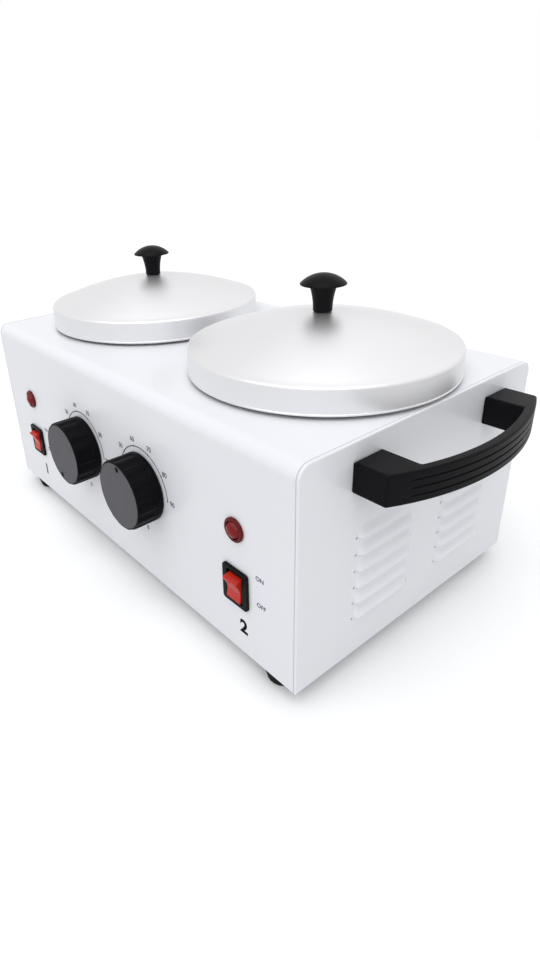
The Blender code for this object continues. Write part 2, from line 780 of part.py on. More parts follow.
def make_dial(side, sign, turn):
    low = dial_standoff
    high = dial_standoff + dial_depth
    collar_top = low + dial_collar_depth
    flute_top = high - dial_face_border
    plain = fluted_outline(dial_radius, 0)
    fluted = fluted_outline(dial_radius, dial_rib_depth)
    border = fluted_outline(dial_radius - dial_face_bevel / 2, 0)
    face = fluted_outline(dial_radius - dial_face_bevel, 0)
    levels = [(low, plain), (collar_top, plain), (collar_top + dial_flute_slope, fluted)]
    levels += [(flute_top, fluted), (flute_top + dial_flute_slope, border), (high, face)]
    rings = [on_plane(outline, place, "Z") for place, outline in levels]
    spot = (sign * dial_x, front_y, dial_height)
    rotation = (facing_front, turn, 0)
    dial = add_piece(side + "_dial", to_bmesh(rings, closed_ends=(0, -1)), dial_plastic, spot, rotation)
    hub_start = bushing_reach + touch_gap
    hollow_radius = dial_radius - dial_rib_depth - dial_wall
    hollow_top = high - dial_face_thickness
    bore_top = hub_start + dial_bore_depth
    hollow = [(0, low - cut_overrun), (hollow_radius, low - cut_overrun), (hollow_radius, hollow_top)]
    hollow += [(dial_hub_radius, hollow_top), (dial_hub_radius, hub_start), (spindle_bore_radius, hub_start)]
    hollow += [(spindle_bore_radius, bore_top), (0, bore_top)]
    helper = add_helper(side + "_dial_hollow", turned(hollow, fine_steps), spot, rotation)
    combine(dial, helper, "DIFFERENCE")
    back = -thermostat_front_depth - spindle_seat_depth
    tip = bore_top - touch_gap
    spindle = disc(spindle_radius, back, tip, fine_steps)
    add_piece(side + "_dial_spindle", spindle, plated_steel, spot, rotation)


def fluted_outline(radius, depth):
    """A circle with upright ribs; with no depth it is a plain circle of the same count of points."""
    points = []
    for rib in range(dial_rib_count):
        for quarter, drop in enumerate((0, 0, depth, depth)):
            angle = 2 * math.pi * (rib + quarter / 4) / dial_rib_count
            points.append(((radius - drop) * math.cos(angle), (radius - drop) * math.sin(angle)))
    return points


def make_thermostat(side, sign):
    spot = (sign * dial_x, front_y, dial_height)
    rotation = (facing_front, 0, 0)
    outline = rounded_rectangle(thermostat_width, thermostat_width, thermostat_edge_radius, 2)
    housing = extruded(outline, -thermostat_back_depth, -thermostat_front_depth)
    body = add_piece(side + "_thermostat_body", housing, cream_plastic, spot, rotation)
    bushing = disc(bushing_radius, -thermostat_front_depth - cut_overrun, bushing_reach, small_steps)
    combine(body, add_helper(side + "_bushing", bushing, spot, rotation), "UNION")
    bore_bottom = -thermostat_front_depth - spindle_seat_depth - touch_gap
    bore = disc(spindle_bore_radius, bore_bottom, bushing_reach + cut_overrun, fine_steps)
    combine(body, add_helper(side + "_bushing_bore", bore, spot, rotation), "DIFFERENCE")
    corner = nut_width / math.sqrt(3)
    angles = [step * math.pi / 3 for step in range(6)]
    hexagon = [(corner * math.cos(angle), corner * math.sin(angle)) for angle in angles]
    nut_body = extruded(hexagon, touch_gap, touch_gap + nut_thickness)
    nut = add_piece(side + "_thermostat_nut", nut_body, plated_steel, spot, rotation)
    nut_bore = disc(bushing_hole_radius, -cut_overrun, nut_thickness + cut_overrun, small_steps)
    combine(nut, add_helper(side + "_nut_bore", nut_bore, spot, rotation), "DIFFERENCE")


def make_sensor(side, sign):
    """The thermostat's sensing bulb against the well, with its thin copper tube."""
    out = well_radius + touch_gap + sensor_bulb_radius
    bulb_x = sign * (well_x - math.sin(sensor_angle) * out)
    bulb_y = well_setback - math.cos(sensor_angle) * out
    bulb_bottom = band_top + sensor_band_clearance
    bulb_top = bulb_bottom + sensor_bulb_length
    neck = bulb_bottom - sensor_neck_length
    end_x = sign * (dial_x + thermostat_width / 8)
    end_z = dial_height + thermostat_width / 4
    end_y = thermostat_back_y + touch_gap
    corner_y = (end_y + bulb_y) / 2
    corners = [(bulb_x, bulb_y, neck), (bulb_x, bulb_y, neck - sensor_drop), (end_x, corner_y, end_z)]
    corners.append((end_x, end_y, end_z))
    tube = rounded_route(corners, sensor_bend_radius, 4)
    route = [(bulb_x, bulb_y, bulb_top), (bulb_x, bulb_y, bulb_bottom)] + tube
    radii = [sensor_bulb_radius] * 2 + [sensor_tube_radius] * len(tube)
    add_wire(side + "_sensor_bulb_and_tube", route, radii, copper, 1)


# Lamps

def make_lamp(side, sign):
    spot = (sign * control_x, front_y, lamp_height)
    rotation = (facing_front, 0, 0)
    rim_top = touch_gap + lamp_rim_height
    middle_radius = lamp_lens_radius * lamp_lens_middle_share
    middle_rise = lamp_lens_rise * (1 - lamp_lens_middle_share ** 2)
    profile = [(0, -lamp_body_depth), (lamp_body_radius, -lamp_body_depth), (lamp_body_radius, touch_gap)]
    profile += [(lamp_radius, touch_gap), (lamp_radius, rim_top), (lamp_lens_radius, rim_top)]
    profile += [(middle_radius, rim_top + middle_rise)]
    profile += [(0, rim_top + lamp_lens_rise)]
    add_piece(side + "_lamp", turned(profile, small_steps), red_plastic, spot, rotation)
    nut_front = -sheet_thickness - touch_gap
    nut_back = nut_front - lamp_nut_thickness
    ring = [(lamp_hole_radius, nut_back), (lamp_nut_radius, nut_back)]
    ring += [(lamp_nut_radius, nut_front), (lamp_hole_radius, nut_front)]
    add_piece(side + "_lamp_nut", turned(ring, small_steps), grey_plastic, spot, rotation)


# Rocker switches: a housing with a bezel, and a rocker that tilts on two pins

def make_switch(side, sign):
    spot = (sign * control_x, front_y, switch_height)
    rotation = (facing_front, 0, 0)
    bezel_top = touch_gap + bezel_thickness
    slope = bezel_edge_slope
    wide = rounded_rectangle(bezel_width, bezel_height, bezel_corner_radius, 3)
    narrow = rounded_rectangle(bezel_width - 2 * slope, bezel_height - 2 * slope, bezel_corner_radius, 3)
    levels = [(wide, touch_gap), (wide, bezel_top - slope), (narrow, bezel_top)]
    bezel = to_bmesh([on_plane(outline, place, "Z") for outline, place in levels], closed_ends=(0, -1))
    housing = add_piece(side + "_switch_housing", bezel, black_plastic, spot, rotation)
    body_top = touch_gap + bezel_thickness / 2
    body_outline = rounded_rectangle(switch_body_width, switch_body_height, 0, 1)
    body = extruded(body_outline, -switch_body_depth, body_top)
    combine(housing, add_helper(side + "_switch_body", body, spot, rotation), "UNION")
    tip_radius = math.hypot(rocker_tip_reach, rocker_half_height)
    tip_angle = math.atan2(rocker_half_height, rocker_tip_reach)
    swept_half = tip_radius * math.sin(tip_angle + rocker_tilt)
    well_width = rocker_width + 2 * switch_well_clearance
    well_height = 2 * (swept_half + switch_well_clearance)
    opening_outline = rounded_rectangle(well_width, well_height, 0, 1)
    opening = extruded(opening_outline, -switch_well_depth, bezel_top + cut_overrun)
    pin_reach = rocker_width / 2 + rocker_pin_length + touch_gap
    sockets = disc(rocker_pin_radius + touch_gap, -pin_reach, pin_reach, fine_steps)
    along_x = Matrix.Rotation(math.pi / 2, 4, "Y")
    combine(housing, add_helper(side + "_switch_well", opening, spot, rotation), "DIFFERENCE")
    sockets = moved(sockets, (0, 0, -rocker_pivot_depth), along_x)
    combine(housing, add_helper(side + "_pin_sockets", sockets, spot, rotation), "DIFFERENCE")
    outline = [(-rocker_half_height, rocker_tip_reach), (0, rocker_valley_reach)]
    outline += [(rocker_half_height, rocker_tip_reach), (rocker_half_height, 0)]
    outline += [(rocker_half_height / 2, -rocker_back_reach), (-rocker_half_height / 2, -rocker_back_reach)]
    outline += [(-rocker_half_height, 0)]
    pivot = (sign * control_x, front_y + rocker_pivot_depth, switch_height)
    tilted = (facing_front + rocker_tilt, 0, 0)
    slab = extruded(outline, -rocker_width / 2, rocker_width / 2, "X")
    rocker = add_piece(side + "_switch_rocker", slab, red_plastic, pivot, tilted)
    pin_end = rocker_width / 2 + rocker_pin_length
    pins = moved(disc(rocker_pin_radius, -pin_end, pin_end, fine_steps), (0, 0, 0), along_x)
    combine(rocker, add_helper(side + "_rocker_pins", pins, pivot, tilted), "UNION")


# Handles: a bowed grip between two square ends, with grooves along its outer face

def make_handle(side, sign):
    half = handle_length / 2
    bow = handle_reach - handle_end_reach
    outer_radius = (half ** 2 + bow ** 2) / (2 * bow)
    inner_radius = outer_radius - handle_grip_thickness
    center = handle_reach - outer_radius
    pad = half - handle_pad_length
    outer_angle = math.asin(half / outer_radius)
    inner_angle = math.asin(pad / inner_radius)
    up = math.pi / 2
    outline = [(half, touch_gap)]
    outline += arc((0, center), outer_radius, up - outer_angle, up + outer_angle, handle_steps)
    outline += [(-half, touch_gap), (-pad, touch_gap)]
    outline += arc((0, center), inner_radius, up + inner_angle, up - inner_angle, handle_steps)
    outline += [(pad, touch_gap)]
    spot = (sign * side_x, handle_setback, handle_height)
    rotation = (0, 0, -sign * math.pi / 2)
    bar = extruded(outline, -handle_grip_height / 2, handle_grip_height / 2)
    handle = add_piece(side + "_handle", bar, black_plastic, spot, rotation)
    bevel = handle.modifiers.new("soft_edges", "BEVEL")
    bevel.width = handle_edge_radius
    bevel.segments = 1
    bevel.limit_method = "ANGLE"
    bevel.angle_limit = sharp_angle
    groove_angle = math.asin((half - groove_end_margin) / outer_radius)
    cuts = []
    for index in range(groove_count):
        middle = (index - (groove_count - 1) / 2) * groove_spacing
        start, end = up - groove_angle, up + groove_angle
        band = arc((0, center), outer_radius - groove_depth, start, end, groove_steps)
        band += arc((0, center), outer_radius + cut_overrun, end, start, groove_steps)
        cuts.append(extruded(band, middle - groove_width / 2, middle + groove_width / 2))
    outward = Matrix.Rotation(-math.pi / 2, 4, "X")
    for place in (-1, 1):
        bore = disc(handle_screw_hole_radius, -cut_overrun, handle_screw_grip + touch_gap, fine_steps)
        cuts.append(moved(bore, (place * handle_screw_offset, 0, 0), outward))
    combine(handle, add_helper(side + "_grooves_and_bores", gathered(cuts), spot, rotation), "DIFFERENCE")
    head_high = -panel_thickness - touch_gap
    head_low = head_high - handle_screw_head_height
    screw = [(0, head_low), (handle_screw_head_radius, head_low), (handle_screw_head_radius, head_high)]
    screw += [(handle_screw_radius, head_high), (handle_screw_radius, handle_screw_grip)]
    screw += [(0, handle_screw_grip)]
    for place, word in ((-1, "front"), (1, "back")):
        screw_spot = (sign * side_x, handle_setback + place * handle_screw_offset, handle_height)
        turn = (0, sign * math.pi / 2, 0)
        name = side + "_handle_" + word + "_screw"
        add_piece(name, turned(screw, fine_steps), plated_steel, screw_spot, turn)


# Mains inlet gland, terminal block and leads

def make_gland():
    outside = touch_gap + gland_flange_thickness
    inner_face = -sheet_thickness - touch_gap
    inside = inner_face - gland_flange_thickness
    edge = gland_edge_radius
    profile = [(gland_bore_radius, inside), (gland_flange_radius - edge, inside)]
    profile += [(gland_flange_radius, inside + edge)]
    profile += [(gland_flange_radius, inner_face), (gland_neck_radius, inner_face)]
    profile += [(gland_neck_radius, touch_gap), (gland_flange_radius, touch_gap)]
    profile += [(gland_flange_radius, outside - edge), (gland_flange_radius - edge, outside)]
    profile += [(gland_bore_radius, outside)]
    spot = (0, back_y, gland_height)
    add_piece("cord_gland", turned(profile, small_steps), black_rubber, spot, (-facing_front, 0, 0))


def make_terminal_block():
    middle_z = floor_top + touch_gap + terminal_block_height / 2
    body = block(terminal_block_width, terminal_block_depth, terminal_block_height)
    spot = (0, terminal_block_y, middle_z)
    terminal = add_piece("terminal_block", body, cream_plastic, spot)
    holes = []
    for place in (-1, 0, 1):
        top = terminal_block_height / 2
        hole = disc(terminal_hole_radius, top - terminal_hole_depth, top + cut_overrun, fine_steps)
        holes.append(moved(hole, (place * terminal_pitch, 0, 0)))
    combine(terminal, add_helper("terminal_holes", gathered(holes), spot), "DIFFERENCE")


def make_leads(side, sign):
    """Three leads on each side: terminal block to switch, switch to thermostat, thermostat to heater."""
    lead_x = sign * supply_lead_spacing / 2
    turn_y = switch_back_y + lead_loop_room
    low = lead_floor_height
    switch_x = sign * control_x
    corners = [(lead_x, terminal_front_y - touch_gap, low), (lead_x, turn_y, low), (switch_x, turn_y, low)]
    corners += [(switch_x, turn_y, switch_height), (switch_x, switch_back_y + touch_gap, switch_height)]
    add_lead(side + "_supply_lead", corners, brown_sleeve)
    lead_y = front_y + switch_lead_depth
    switch_side = control_x - switch_body_width / 2 - touch_gap
    thermostat_side = dial_x + thermostat_width / 2 + touch_gap
    switch_end_z = switch_height - switch_lead_drop
    dial_end_z = dial_height - heater_lead_drop - 4 * lead_radius
    corners = [(sign * switch_side, lead_y, switch_end_z)]
    corners += [(sign * (switch_side - switch_lead_straight), lead_y, switch_end_z)]
    corners += [(sign * (thermostat_side + switch_lead_straight), lead_y, dial_end_z)]
    corners += [(sign * thermostat_side, lead_y, dial_end_z)]
    add_lead(side + "_switch_lead", corners, brown_sleeve)
    socket_y = (thermostat_back_y + front_y + thermostat_front_depth) / 2
    lug_y = well_setback - lug_tip_radius + lug_lead_inset
    socket_z = dial_height - heater_lead_drop
    lug_z = (band_bottom + band_top) / 2 - lug_lead_drop
    lug_x = well_x - lug_outer_x - touch_gap
    corners = [(sign * thermostat_side, socket_y, socket_z)]
    corners += [(sign * (thermostat_side + heater_lead_straight), socket_y, socket_z)]
    corners += [(sign * (lug_x - heater_lead_straight), lug_y, lug_z), (sign * lug_x, lug_y, lug_z)]
    add_lead(side + "_heater_lead", corners, white_sleeve)


def add_lead(name, corners, material):
    route = rounded_route(corners, lead_bend_radius, 3)
    add_wire(name, route, [lead_radius] * len(route), material, 1)


# Assembly

make_casing_wrap()
make_base_plate()
make_feet()
make_gland()
make_terminal_block()
for side, sign in SIDES.items():
    make_side_panel(side, sign)
    make_well(side, sign)
    make_band_heater(side, sign)
    make_pot(side, sign)
    make_lid(side, sign)
    make_lid_knob(side, sign)
    make_dial(side, sign, {"left": left_dial_turn, "right": right_dial_turn}[side])
    make_thermostat(side, sign)
    make_sensor(side, sign)
    make_lamp(side, sign)
    make_switch(side, sign)
    make_handle(side, sign)
    make_leads(side, sign)
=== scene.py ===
# %% [markdown]
# # A double wax warmer
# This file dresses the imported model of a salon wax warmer: a white sheet steel casing with two lift-out
# pots under domed aluminium lids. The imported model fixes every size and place. Here the pieces that show
# get finer meshes and real finishes. The frame loads first, because every later cell measures from it.

# %% Load the frame
import json
import math

import bmesh
import bpy
from mathutils import Matrix, Vector

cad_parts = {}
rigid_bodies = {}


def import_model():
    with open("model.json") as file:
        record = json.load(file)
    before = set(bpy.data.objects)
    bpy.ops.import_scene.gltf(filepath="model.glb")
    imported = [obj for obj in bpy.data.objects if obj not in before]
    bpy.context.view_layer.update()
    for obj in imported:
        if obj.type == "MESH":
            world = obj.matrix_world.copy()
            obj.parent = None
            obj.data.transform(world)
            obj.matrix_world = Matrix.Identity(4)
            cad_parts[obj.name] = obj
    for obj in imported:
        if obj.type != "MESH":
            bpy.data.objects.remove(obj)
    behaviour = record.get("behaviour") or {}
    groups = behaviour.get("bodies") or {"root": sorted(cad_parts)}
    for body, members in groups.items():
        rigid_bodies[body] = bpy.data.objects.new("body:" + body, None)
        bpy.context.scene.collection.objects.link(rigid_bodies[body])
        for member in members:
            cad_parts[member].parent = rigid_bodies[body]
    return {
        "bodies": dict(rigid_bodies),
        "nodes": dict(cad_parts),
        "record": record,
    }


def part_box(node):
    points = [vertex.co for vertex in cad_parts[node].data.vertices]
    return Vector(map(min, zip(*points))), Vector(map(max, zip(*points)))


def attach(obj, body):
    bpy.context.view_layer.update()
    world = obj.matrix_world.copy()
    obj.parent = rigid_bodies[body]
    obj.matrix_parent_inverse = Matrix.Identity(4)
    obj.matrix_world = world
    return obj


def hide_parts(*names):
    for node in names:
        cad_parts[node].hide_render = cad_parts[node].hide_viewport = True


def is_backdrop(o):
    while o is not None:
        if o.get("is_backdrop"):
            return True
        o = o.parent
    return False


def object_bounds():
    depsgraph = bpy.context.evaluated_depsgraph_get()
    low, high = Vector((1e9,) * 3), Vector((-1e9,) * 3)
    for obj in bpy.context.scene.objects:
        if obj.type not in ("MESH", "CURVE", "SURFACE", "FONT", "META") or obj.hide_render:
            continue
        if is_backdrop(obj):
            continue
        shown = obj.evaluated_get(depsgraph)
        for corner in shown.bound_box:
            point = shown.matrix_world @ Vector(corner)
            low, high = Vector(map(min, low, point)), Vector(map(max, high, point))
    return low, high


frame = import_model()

ours = set(frame["nodes"].values()) | set(frame["bodies"].values())
for other in [obj for obj in bpy.data.objects if obj not in ours]:
    bpy.data.objects.remove(other, do_unlink=True)
cad_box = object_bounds()

# %% [markdown]
# ## Places
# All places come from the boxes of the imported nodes, so nothing has to be fitted afterwards. The casing's
# own zero point is the middle of its underside, and the front of the sheet is the lowest Y of the wrap.

# %% Measure the casing
MM = 0.001
SIDES = {"left": -1, "right": 1}
wrap_low, wrap_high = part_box("casing_wrap")
casing_middle = Vector((0, (wrap_low.y + wrap_high.y) / 2, wrap_low.z))
front_y = wrap_low.y
back_y = wrap_high.y
casing_height = wrap_high.z - wrap_low.z
print("casing front, back and height in mm:", [round(v / MM, 1) for v in (front_y, back_y, casing_height)])


def middle(node, **places):
    """The middle of a node's box, with its place on some axes given instead."""
    low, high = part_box(node)
    spot = (low + high) / 2
    for axis, place in places.items():
        setattr(spot, axis, place)
    return spot


# %% [markdown]
# ## The camera
# The photograph looks down on the right front corner from close by, so the near corner looms large. A
# camera with the same place, lens and small shift gives the same picture. Its place was found from the
# casing's corners, and it is written here from the casing's zero point.

# %% Set the camera
image_width = 540
image_height = 960
focal_pixels = 611.9
middle_pixel = (217.84, 438.22)
camera_spot = Vector((347.84, -279.92, 272.93)) * MM
camera_yaw = math.radians(-52.238)
camera_pitch = math.radians(25.625)
camera_roll = math.radians(-2.827)
nearest_seen = 10 * MM


def new_object(name, data):
    """An object in the scene, made from its data."""
    made = bpy.data.objects.new(name, data)
    bpy.context.scene.collection.objects.link(made)
    return made


forward = Vector((math.sin(camera_yaw) * math.cos(camera_pitch),
                  math.cos(camera_yaw) * math.cos(camera_pitch),
                  -math.sin(camera_pitch)))
level_right = Vector((math.cos(camera_yaw), -math.sin(camera_yaw), 0))
level_up = level_right.cross(forward)
right = level_right * math.cos(camera_roll) + level_up * math.sin(camera_roll)
up = level_up * math.cos(camera_roll) - level_right * math.sin(camera_roll)
camera_data = bpy.data.cameras.new("photo_camera")
camera_data.lens = focal_pixels / image_height * camera_data.sensor_width
camera_data.shift_x = (image_width / 2 - middle_pixel[0]) / image_height
camera_data.shift_y = (middle_pixel[1] - image_height / 2) / image_height
camera_data.clip_start = nearest_seen
camera = new_object("photo_camera", camera_data)
turn = Matrix((right, up, -forward)).transposed().to_4x4()
camera.matrix_world = Matrix.Translation(casing_middle + camera_spot) @ turn
bpy.context.scene.camera = camera
print("lens in mm:", round(camera_data.lens, 2))

# %% [markdown]
# ## Light and floor
# A white product picture comes from a big soft room. The world gives light from all round, and one wide
# sun overhead makes the top the brightest face. A weaker one from behind fills the shadows on the top and
# fans out over the turned lids. Rays that see the room directly see it white, and a gloss sees its pale
# walls. Wide suns were chosen instead of area lamps because they light the far floor as much as the near.

# %% Light the room
room_light = 0.67
wall_light = 0.93
room_tint = (0.97, 0.98, 1.0, 1)
white = (1, 1, 1, 1)
suns = {"wide_key": (1.48, math.radians(65), Vector((-0.19, 0.35, -0.92))),
        "back_fill": (0.07, math.radians(45), Vector((0.15, -0.69, -0.71)))}


def feed(tree, node, inputs):
    """Give a node's inputs their values, or link them to the outputs given in their place."""
    for label, value in inputs.items():
        if isinstance(value, bpy.types.NodeSocket):
            tree.links.new(value, node.inputs[label])
        else:
            node.inputs[label].default_value = value
    return node


def add_node(tree, kind, inputs=None, **settings):
    """A shader node with its settings made and its inputs fed."""
    node = tree.nodes.new("ShaderNode" + kind)
    for name, value in settings.items():
        setattr(node, name, value)
    return feed(tree, node, inputs or {})


world = bpy.data.worlds.new("white_studio")
world.use_nodes = True
bpy.context.scene.world = world
tree = world.node_tree
tree.nodes.clear()
rays = add_node(tree, "LightPath").outputs
seen_directly = add_node(tree, "Math", {0: rays["Is Camera Ray"], 1: rays["Is Transmission Ray"]},
                         operation="MAXIMUM").outputs[0]
walls = add_node(tree, "Background", {"Color": white, "Strength": wall_light}).outputs[0]
lighting = add_node(tree, "Background", {"Color": room_tint, "Strength": room_light}).outputs[0]
backdrop = add_node(tree, "Background", {"Color": white}).outputs[0]
in_gloss = add_node(tree, "MixShader", {"Fac": rays["Is Glossy Ray"], 1: lighting, 2: walls}).outputs[0]
in_view = add_node(tree, "MixShader", {"Fac": seen_directly, 1: in_gloss, 2: backdrop}).outputs[0]
add_node(tree, "OutputWorld", {"Surface": in_view})

for name, (strength, width, direction) in suns.items():
    sun_data = bpy.data.lights.new(name, "SUN")
    sun_data.energy = strength
    sun_data.angle = width
    sun = new_object(name, sun_data)
    sun.rotation_euler = direction.to_track_quat("-Z", "Y").to_euler()
bpy.context.scene.view_settings.view_transform = "Standard"
print("room light:", room_light, "suns:", len(suns))

# %% [markdown]
# The floor is a plain pale sheet. To the camera it is almost white, so that it runs into the backdrop
# with no edge, and to other rays it is a little darker, as real paper is. It keeps the contact shadow.

# %% Lay the floor
floor_size = 30.0
floor_squares = 4
paper_grey = (0.80, 0.80, 0.80, 1)
paper_to_camera = (0.98, 0.98, 0.98, 1)


def new_material(name):
    """An empty material with its node tree, and its output node."""
    material = bpy.data.materials.new(name)
    material.use_nodes = True
    tree = material.node_tree
    tree.nodes.clear()
    return material, tree, add_node(tree, "OutputMaterial")


def mixed(tree, share, first, second):
    """A colour between two others, by a share that a node puts out."""
    mix = add_node(tree, "Mix", {"Factor": share, "A": first, "B": second}, data_type="RGBA")
    return mix.outputs["Result"]


floor_material, tree, output = new_material("pale_paper")
paper = mixed(tree, add_node(tree, "LightPath").outputs["Is Camera Ray"], paper_grey, paper_to_camera)
feed(tree, output, {"Surface": add_node(tree, "BsdfDiffuse", {"Color": paper}).outputs[0]})
floor_mesh = bpy.data.meshes.new("floor")
floor_bm = bmesh.new()
bmesh.ops.create_grid(floor_bm, x_segments=floor_squares, y_segments=floor_squares, size=floor_size / 2)
floor_bm.to_mesh(floor_mesh)
floor_bm.free()
floor_mesh.materials.append(floor_material)
floor = new_object("floor", floor_mesh)
floor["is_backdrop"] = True
print("floor:", floor_size, "m")

# %% [markdown]
# ## Effects that several finishes share
# Grain, clouding and tinted edges turn up on paint, metal and plastic alike. The edges are worn, and on
# the black plastics their lighter tint is also a painted highlight. Each is one shader group with named
# inputs, placed in each material with its own values. A group only puts out values and masks, so the
# shader itself stays in the material where it can be read and changed.

# %% Make the shared effects
cell_share = 0.35
flat_agreement = 0.99
edge_agreement = 0.80


def new_group(name, inputs, outputs):
    """A shader group with named float sockets, its input values as defaults."""
    group = bpy.data.node_groups.new(name, "ShaderNodeTree")
    for label, value in inputs.items():
        socket = group.interface.new_socket(label, in_out="INPUT", socket_type="NodeSocketFloat")
        socket.default_value = value
    for label in outputs:
        group.interface.new_socket(label, in_out="OUTPUT", socket_type="NodeSocketFloat")
    return group, group.nodes.new("NodeGroupInput").outputs, group.nodes.new("NodeGroupOutput")


def make_grain_group():
    """Fine relief: noise in two sizes, for blasted metal, moulded plastic and the skin of paint."""
    group, start, end = new_group("fine_relief", {"Scale": 800.0, "Roughness": 0.6}, ("Height",))
    place = {"Vector": add_node(group, "TexCoord").outputs["Object"], "Scale": start["Scale"]}
    grain = {**place, "Roughness": start["Roughness"], "Detail": 3.0}
    noise = add_node(group, "TexNoise", grain).outputs["Fac"]
    cells = add_node(group, "TexVoronoi", place).outputs["Distance"]
    blend = add_node(group, "Math", {0: cells, 1: cell_share, 2: noise}, operation="MULTIPLY_ADD")
    feed(group, end, {"Height": blend.outputs[0]})
    return group


def make_cloud_group():
    """Slow change between two values over a surface, for wiped marks and uneven gloss."""
    group, start, end = new_group("slow_clouds", {"Scale": 20.0, "Low": 0.3, "High": 0.4}, ("Value", "Mask"))
    place = add_node(group, "TexCoord").outputs["Object"]
    slow = {"Vector": place, "Scale": start["Scale"], "Detail": 1.0}
    noise = add_node(group, "TexNoise", slow).outputs["Fac"]
    spread = add_node(group, "MapRange", {"Value": noise, "To Min": start["Low"], "To Max": start["High"]})
    feed(group, end, {"Value": spread.outputs["Result"], "Mask": noise})
    return group


def make_edge_group():
    """A broken mask of the edges, for their wear and, on the black plastics, a painted highlight.

    A rounded-off normal leaves the true one only near an edge, however the faces are laid out.
    """
    group, start, end = new_group("edge_wear_and_highlight", {"Reach": 0.5 * MM, "Amount": 0.5}, ("Mask",))
    rounded_off = add_node(group, "Bevel", {"Radius": start["Reach"]}, samples=4).outputs["Normal"]
    true_normal = add_node(group, "NewGeometry").outputs["Normal"]
    agree = add_node(group, "VectorMath", {0: rounded_off, 1: true_normal}, operation="DOT_PRODUCT")
    spread = add_node(group, "MapRange", {
        "Value": agree.outputs["Value"], "From Min": flat_agreement, "From Max": edge_agreement,
        "To Max": start["Amount"]}).outputs["Result"]
    place = add_node(group, "TexCoord").outputs["Object"]
    noise = add_node(group, "TexNoise", {"Vector": place, "Scale": 350.0, "Detail": 3.0}).outputs["Fac"]
    broken = add_node(group, "Math", {0: spread, 1: noise}, operation="MULTIPLY")
    feed(group, end, {"Mask": broken.outputs[0]})
    return group


def make_lathe_group():
    """Fine rings round a turned piece's own axis, read from its box, whose middle the axis is."""
    group, start, end = new_group("turning_rings", {"Rings": 300.0}, ("Height",))
    place = add_node(group, "TexCoord").outputs["Generated"]
    shift = add_node(group, "VectorMath", {0: place, 1: (0.5, 0.5, 0.5)}, operation="SUBTRACT").outputs[0]
    flat = add_node(group, "VectorMath", {0: shift, 1: (1, 1, 0)}, operation="MULTIPLY").outputs[0]
    radius = add_node(group, "VectorMath", {0: flat}, operation="LENGTH").outputs["Value"]
    lines = {"W": radius, "Scale": start["Rings"], "Detail": 2.0}
    noise = add_node(group, "TexNoise", lines, noise_dimensions="1D")
    feed(group, end, {"Height": noise.outputs["Fac"]})
    return group


fine_relief = make_grain_group()
slow_clouds = make_cloud_group()
edge_wear_and_highlight = make_edge_group()
turning_rings = make_lathe_group()
print("shader groups:", [group.name for group in bpy.data.node_groups])

# %% [markdown]
# ## Finishes
# Each finish is a Principled shader with a colour that clouds slightly, a gloss that changes over the
# surface and a fine relief through a Bump node. One function wires these up, because the real finishes
# differ in their values more than in their build. What a finish has besides goes in its own cell.

# %% Define how a finish is made
finishes = {}


def make_finish(name, colour, shade, roughness, relief, clouds=25.0, metallic=0.0, specular=0.5, rings=None):
    """A finish from two close colours, two ends of roughness and a relief of a scale and a depth in mm."""
    material, tree, output = new_material(name)
    ends = {"Scale": clouds, "Low": roughness[0], "High": roughness[1]}
    cloud = add_node(tree, "Group", ends, node_tree=slow_clouds).outputs
    grain = add_node(tree, "Group", {"Scale": relief[0]}, node_tree=fine_relief).outputs["Height"]
    normal = add_node(tree, "Bump", {"Distance": relief[1] * MM, "Height": grain}).outputs["Normal"]
    if rings:
        marks = add_node(tree, "Group", {"Rings": rings[0]}, node_tree=turning_rings).outputs["Height"]
        ridges = {"Distance": rings[1] * MM, "Height": marks, "Normal": normal}
        normal = add_node(tree, "Bump", ridges).outputs["Normal"]
    shader = add_node(tree, "BsdfPrincipled", {
        "Base Color": mixed(tree, cloud["Mask"], (*colour, 1), (*shade, 1)), "Roughness": cloud["Value"],
        "Metallic": metallic, "Specular IOR Level": specular, "Normal": normal})
    feed(tree, output, {"Surface": shader.outputs["BSDF"]})
    finishes[name] = material


def shader_of(name):
    """The node tree of a finish and the Principled shader in it."""
    tree = finishes[name].node_tree
    return tree, next(node for node in tree.nodes if node.type == "BSDF_PRINCIPLED")


def rub_edges(name, colour, reach, amount):
    """Tint the edges of a finish towards a colour, over a reach in mm: wear, and on black plastic also a
    painted highlight.
    """
    tree, shader = shader_of(name)
    before = shader.inputs["Base Color"].links[0].from_socket
    mask = add_node(tree, "Group", {"Reach": reach * MM, "Amount": amount}, node_tree=edge_wear_and_highlight)
    feed(tree, shader, {"Base Color": mixed(tree, mask.outputs["Mask"], before, (*colour, 1))})


# %% [markdown]
# The casing is sheet steel with a baked white enamel. Baked paint is never quite flat: it has a faint
# orange peel a few millimetres across, and its edges run thin. A clear coat gives the wet gloss. The
# lids' sheen is drawn out across the turning marks, which makes the soft fan below each knob.

# %% Mix the paint and the metals
make_finish("white_paint", (0.83, 0.84, 0.87), (0.81, 0.82, 0.855), (0.27, 0.31), (320.0, 0.010),
            clouds=12.0, specular=0.36)
feed(*shader_of("white_paint"), {"Coat Weight": 0.15, "Coat Roughness": 0.15})
rub_edges("white_paint", (0.70, 0.71, 0.74), 0.4, 0.5)

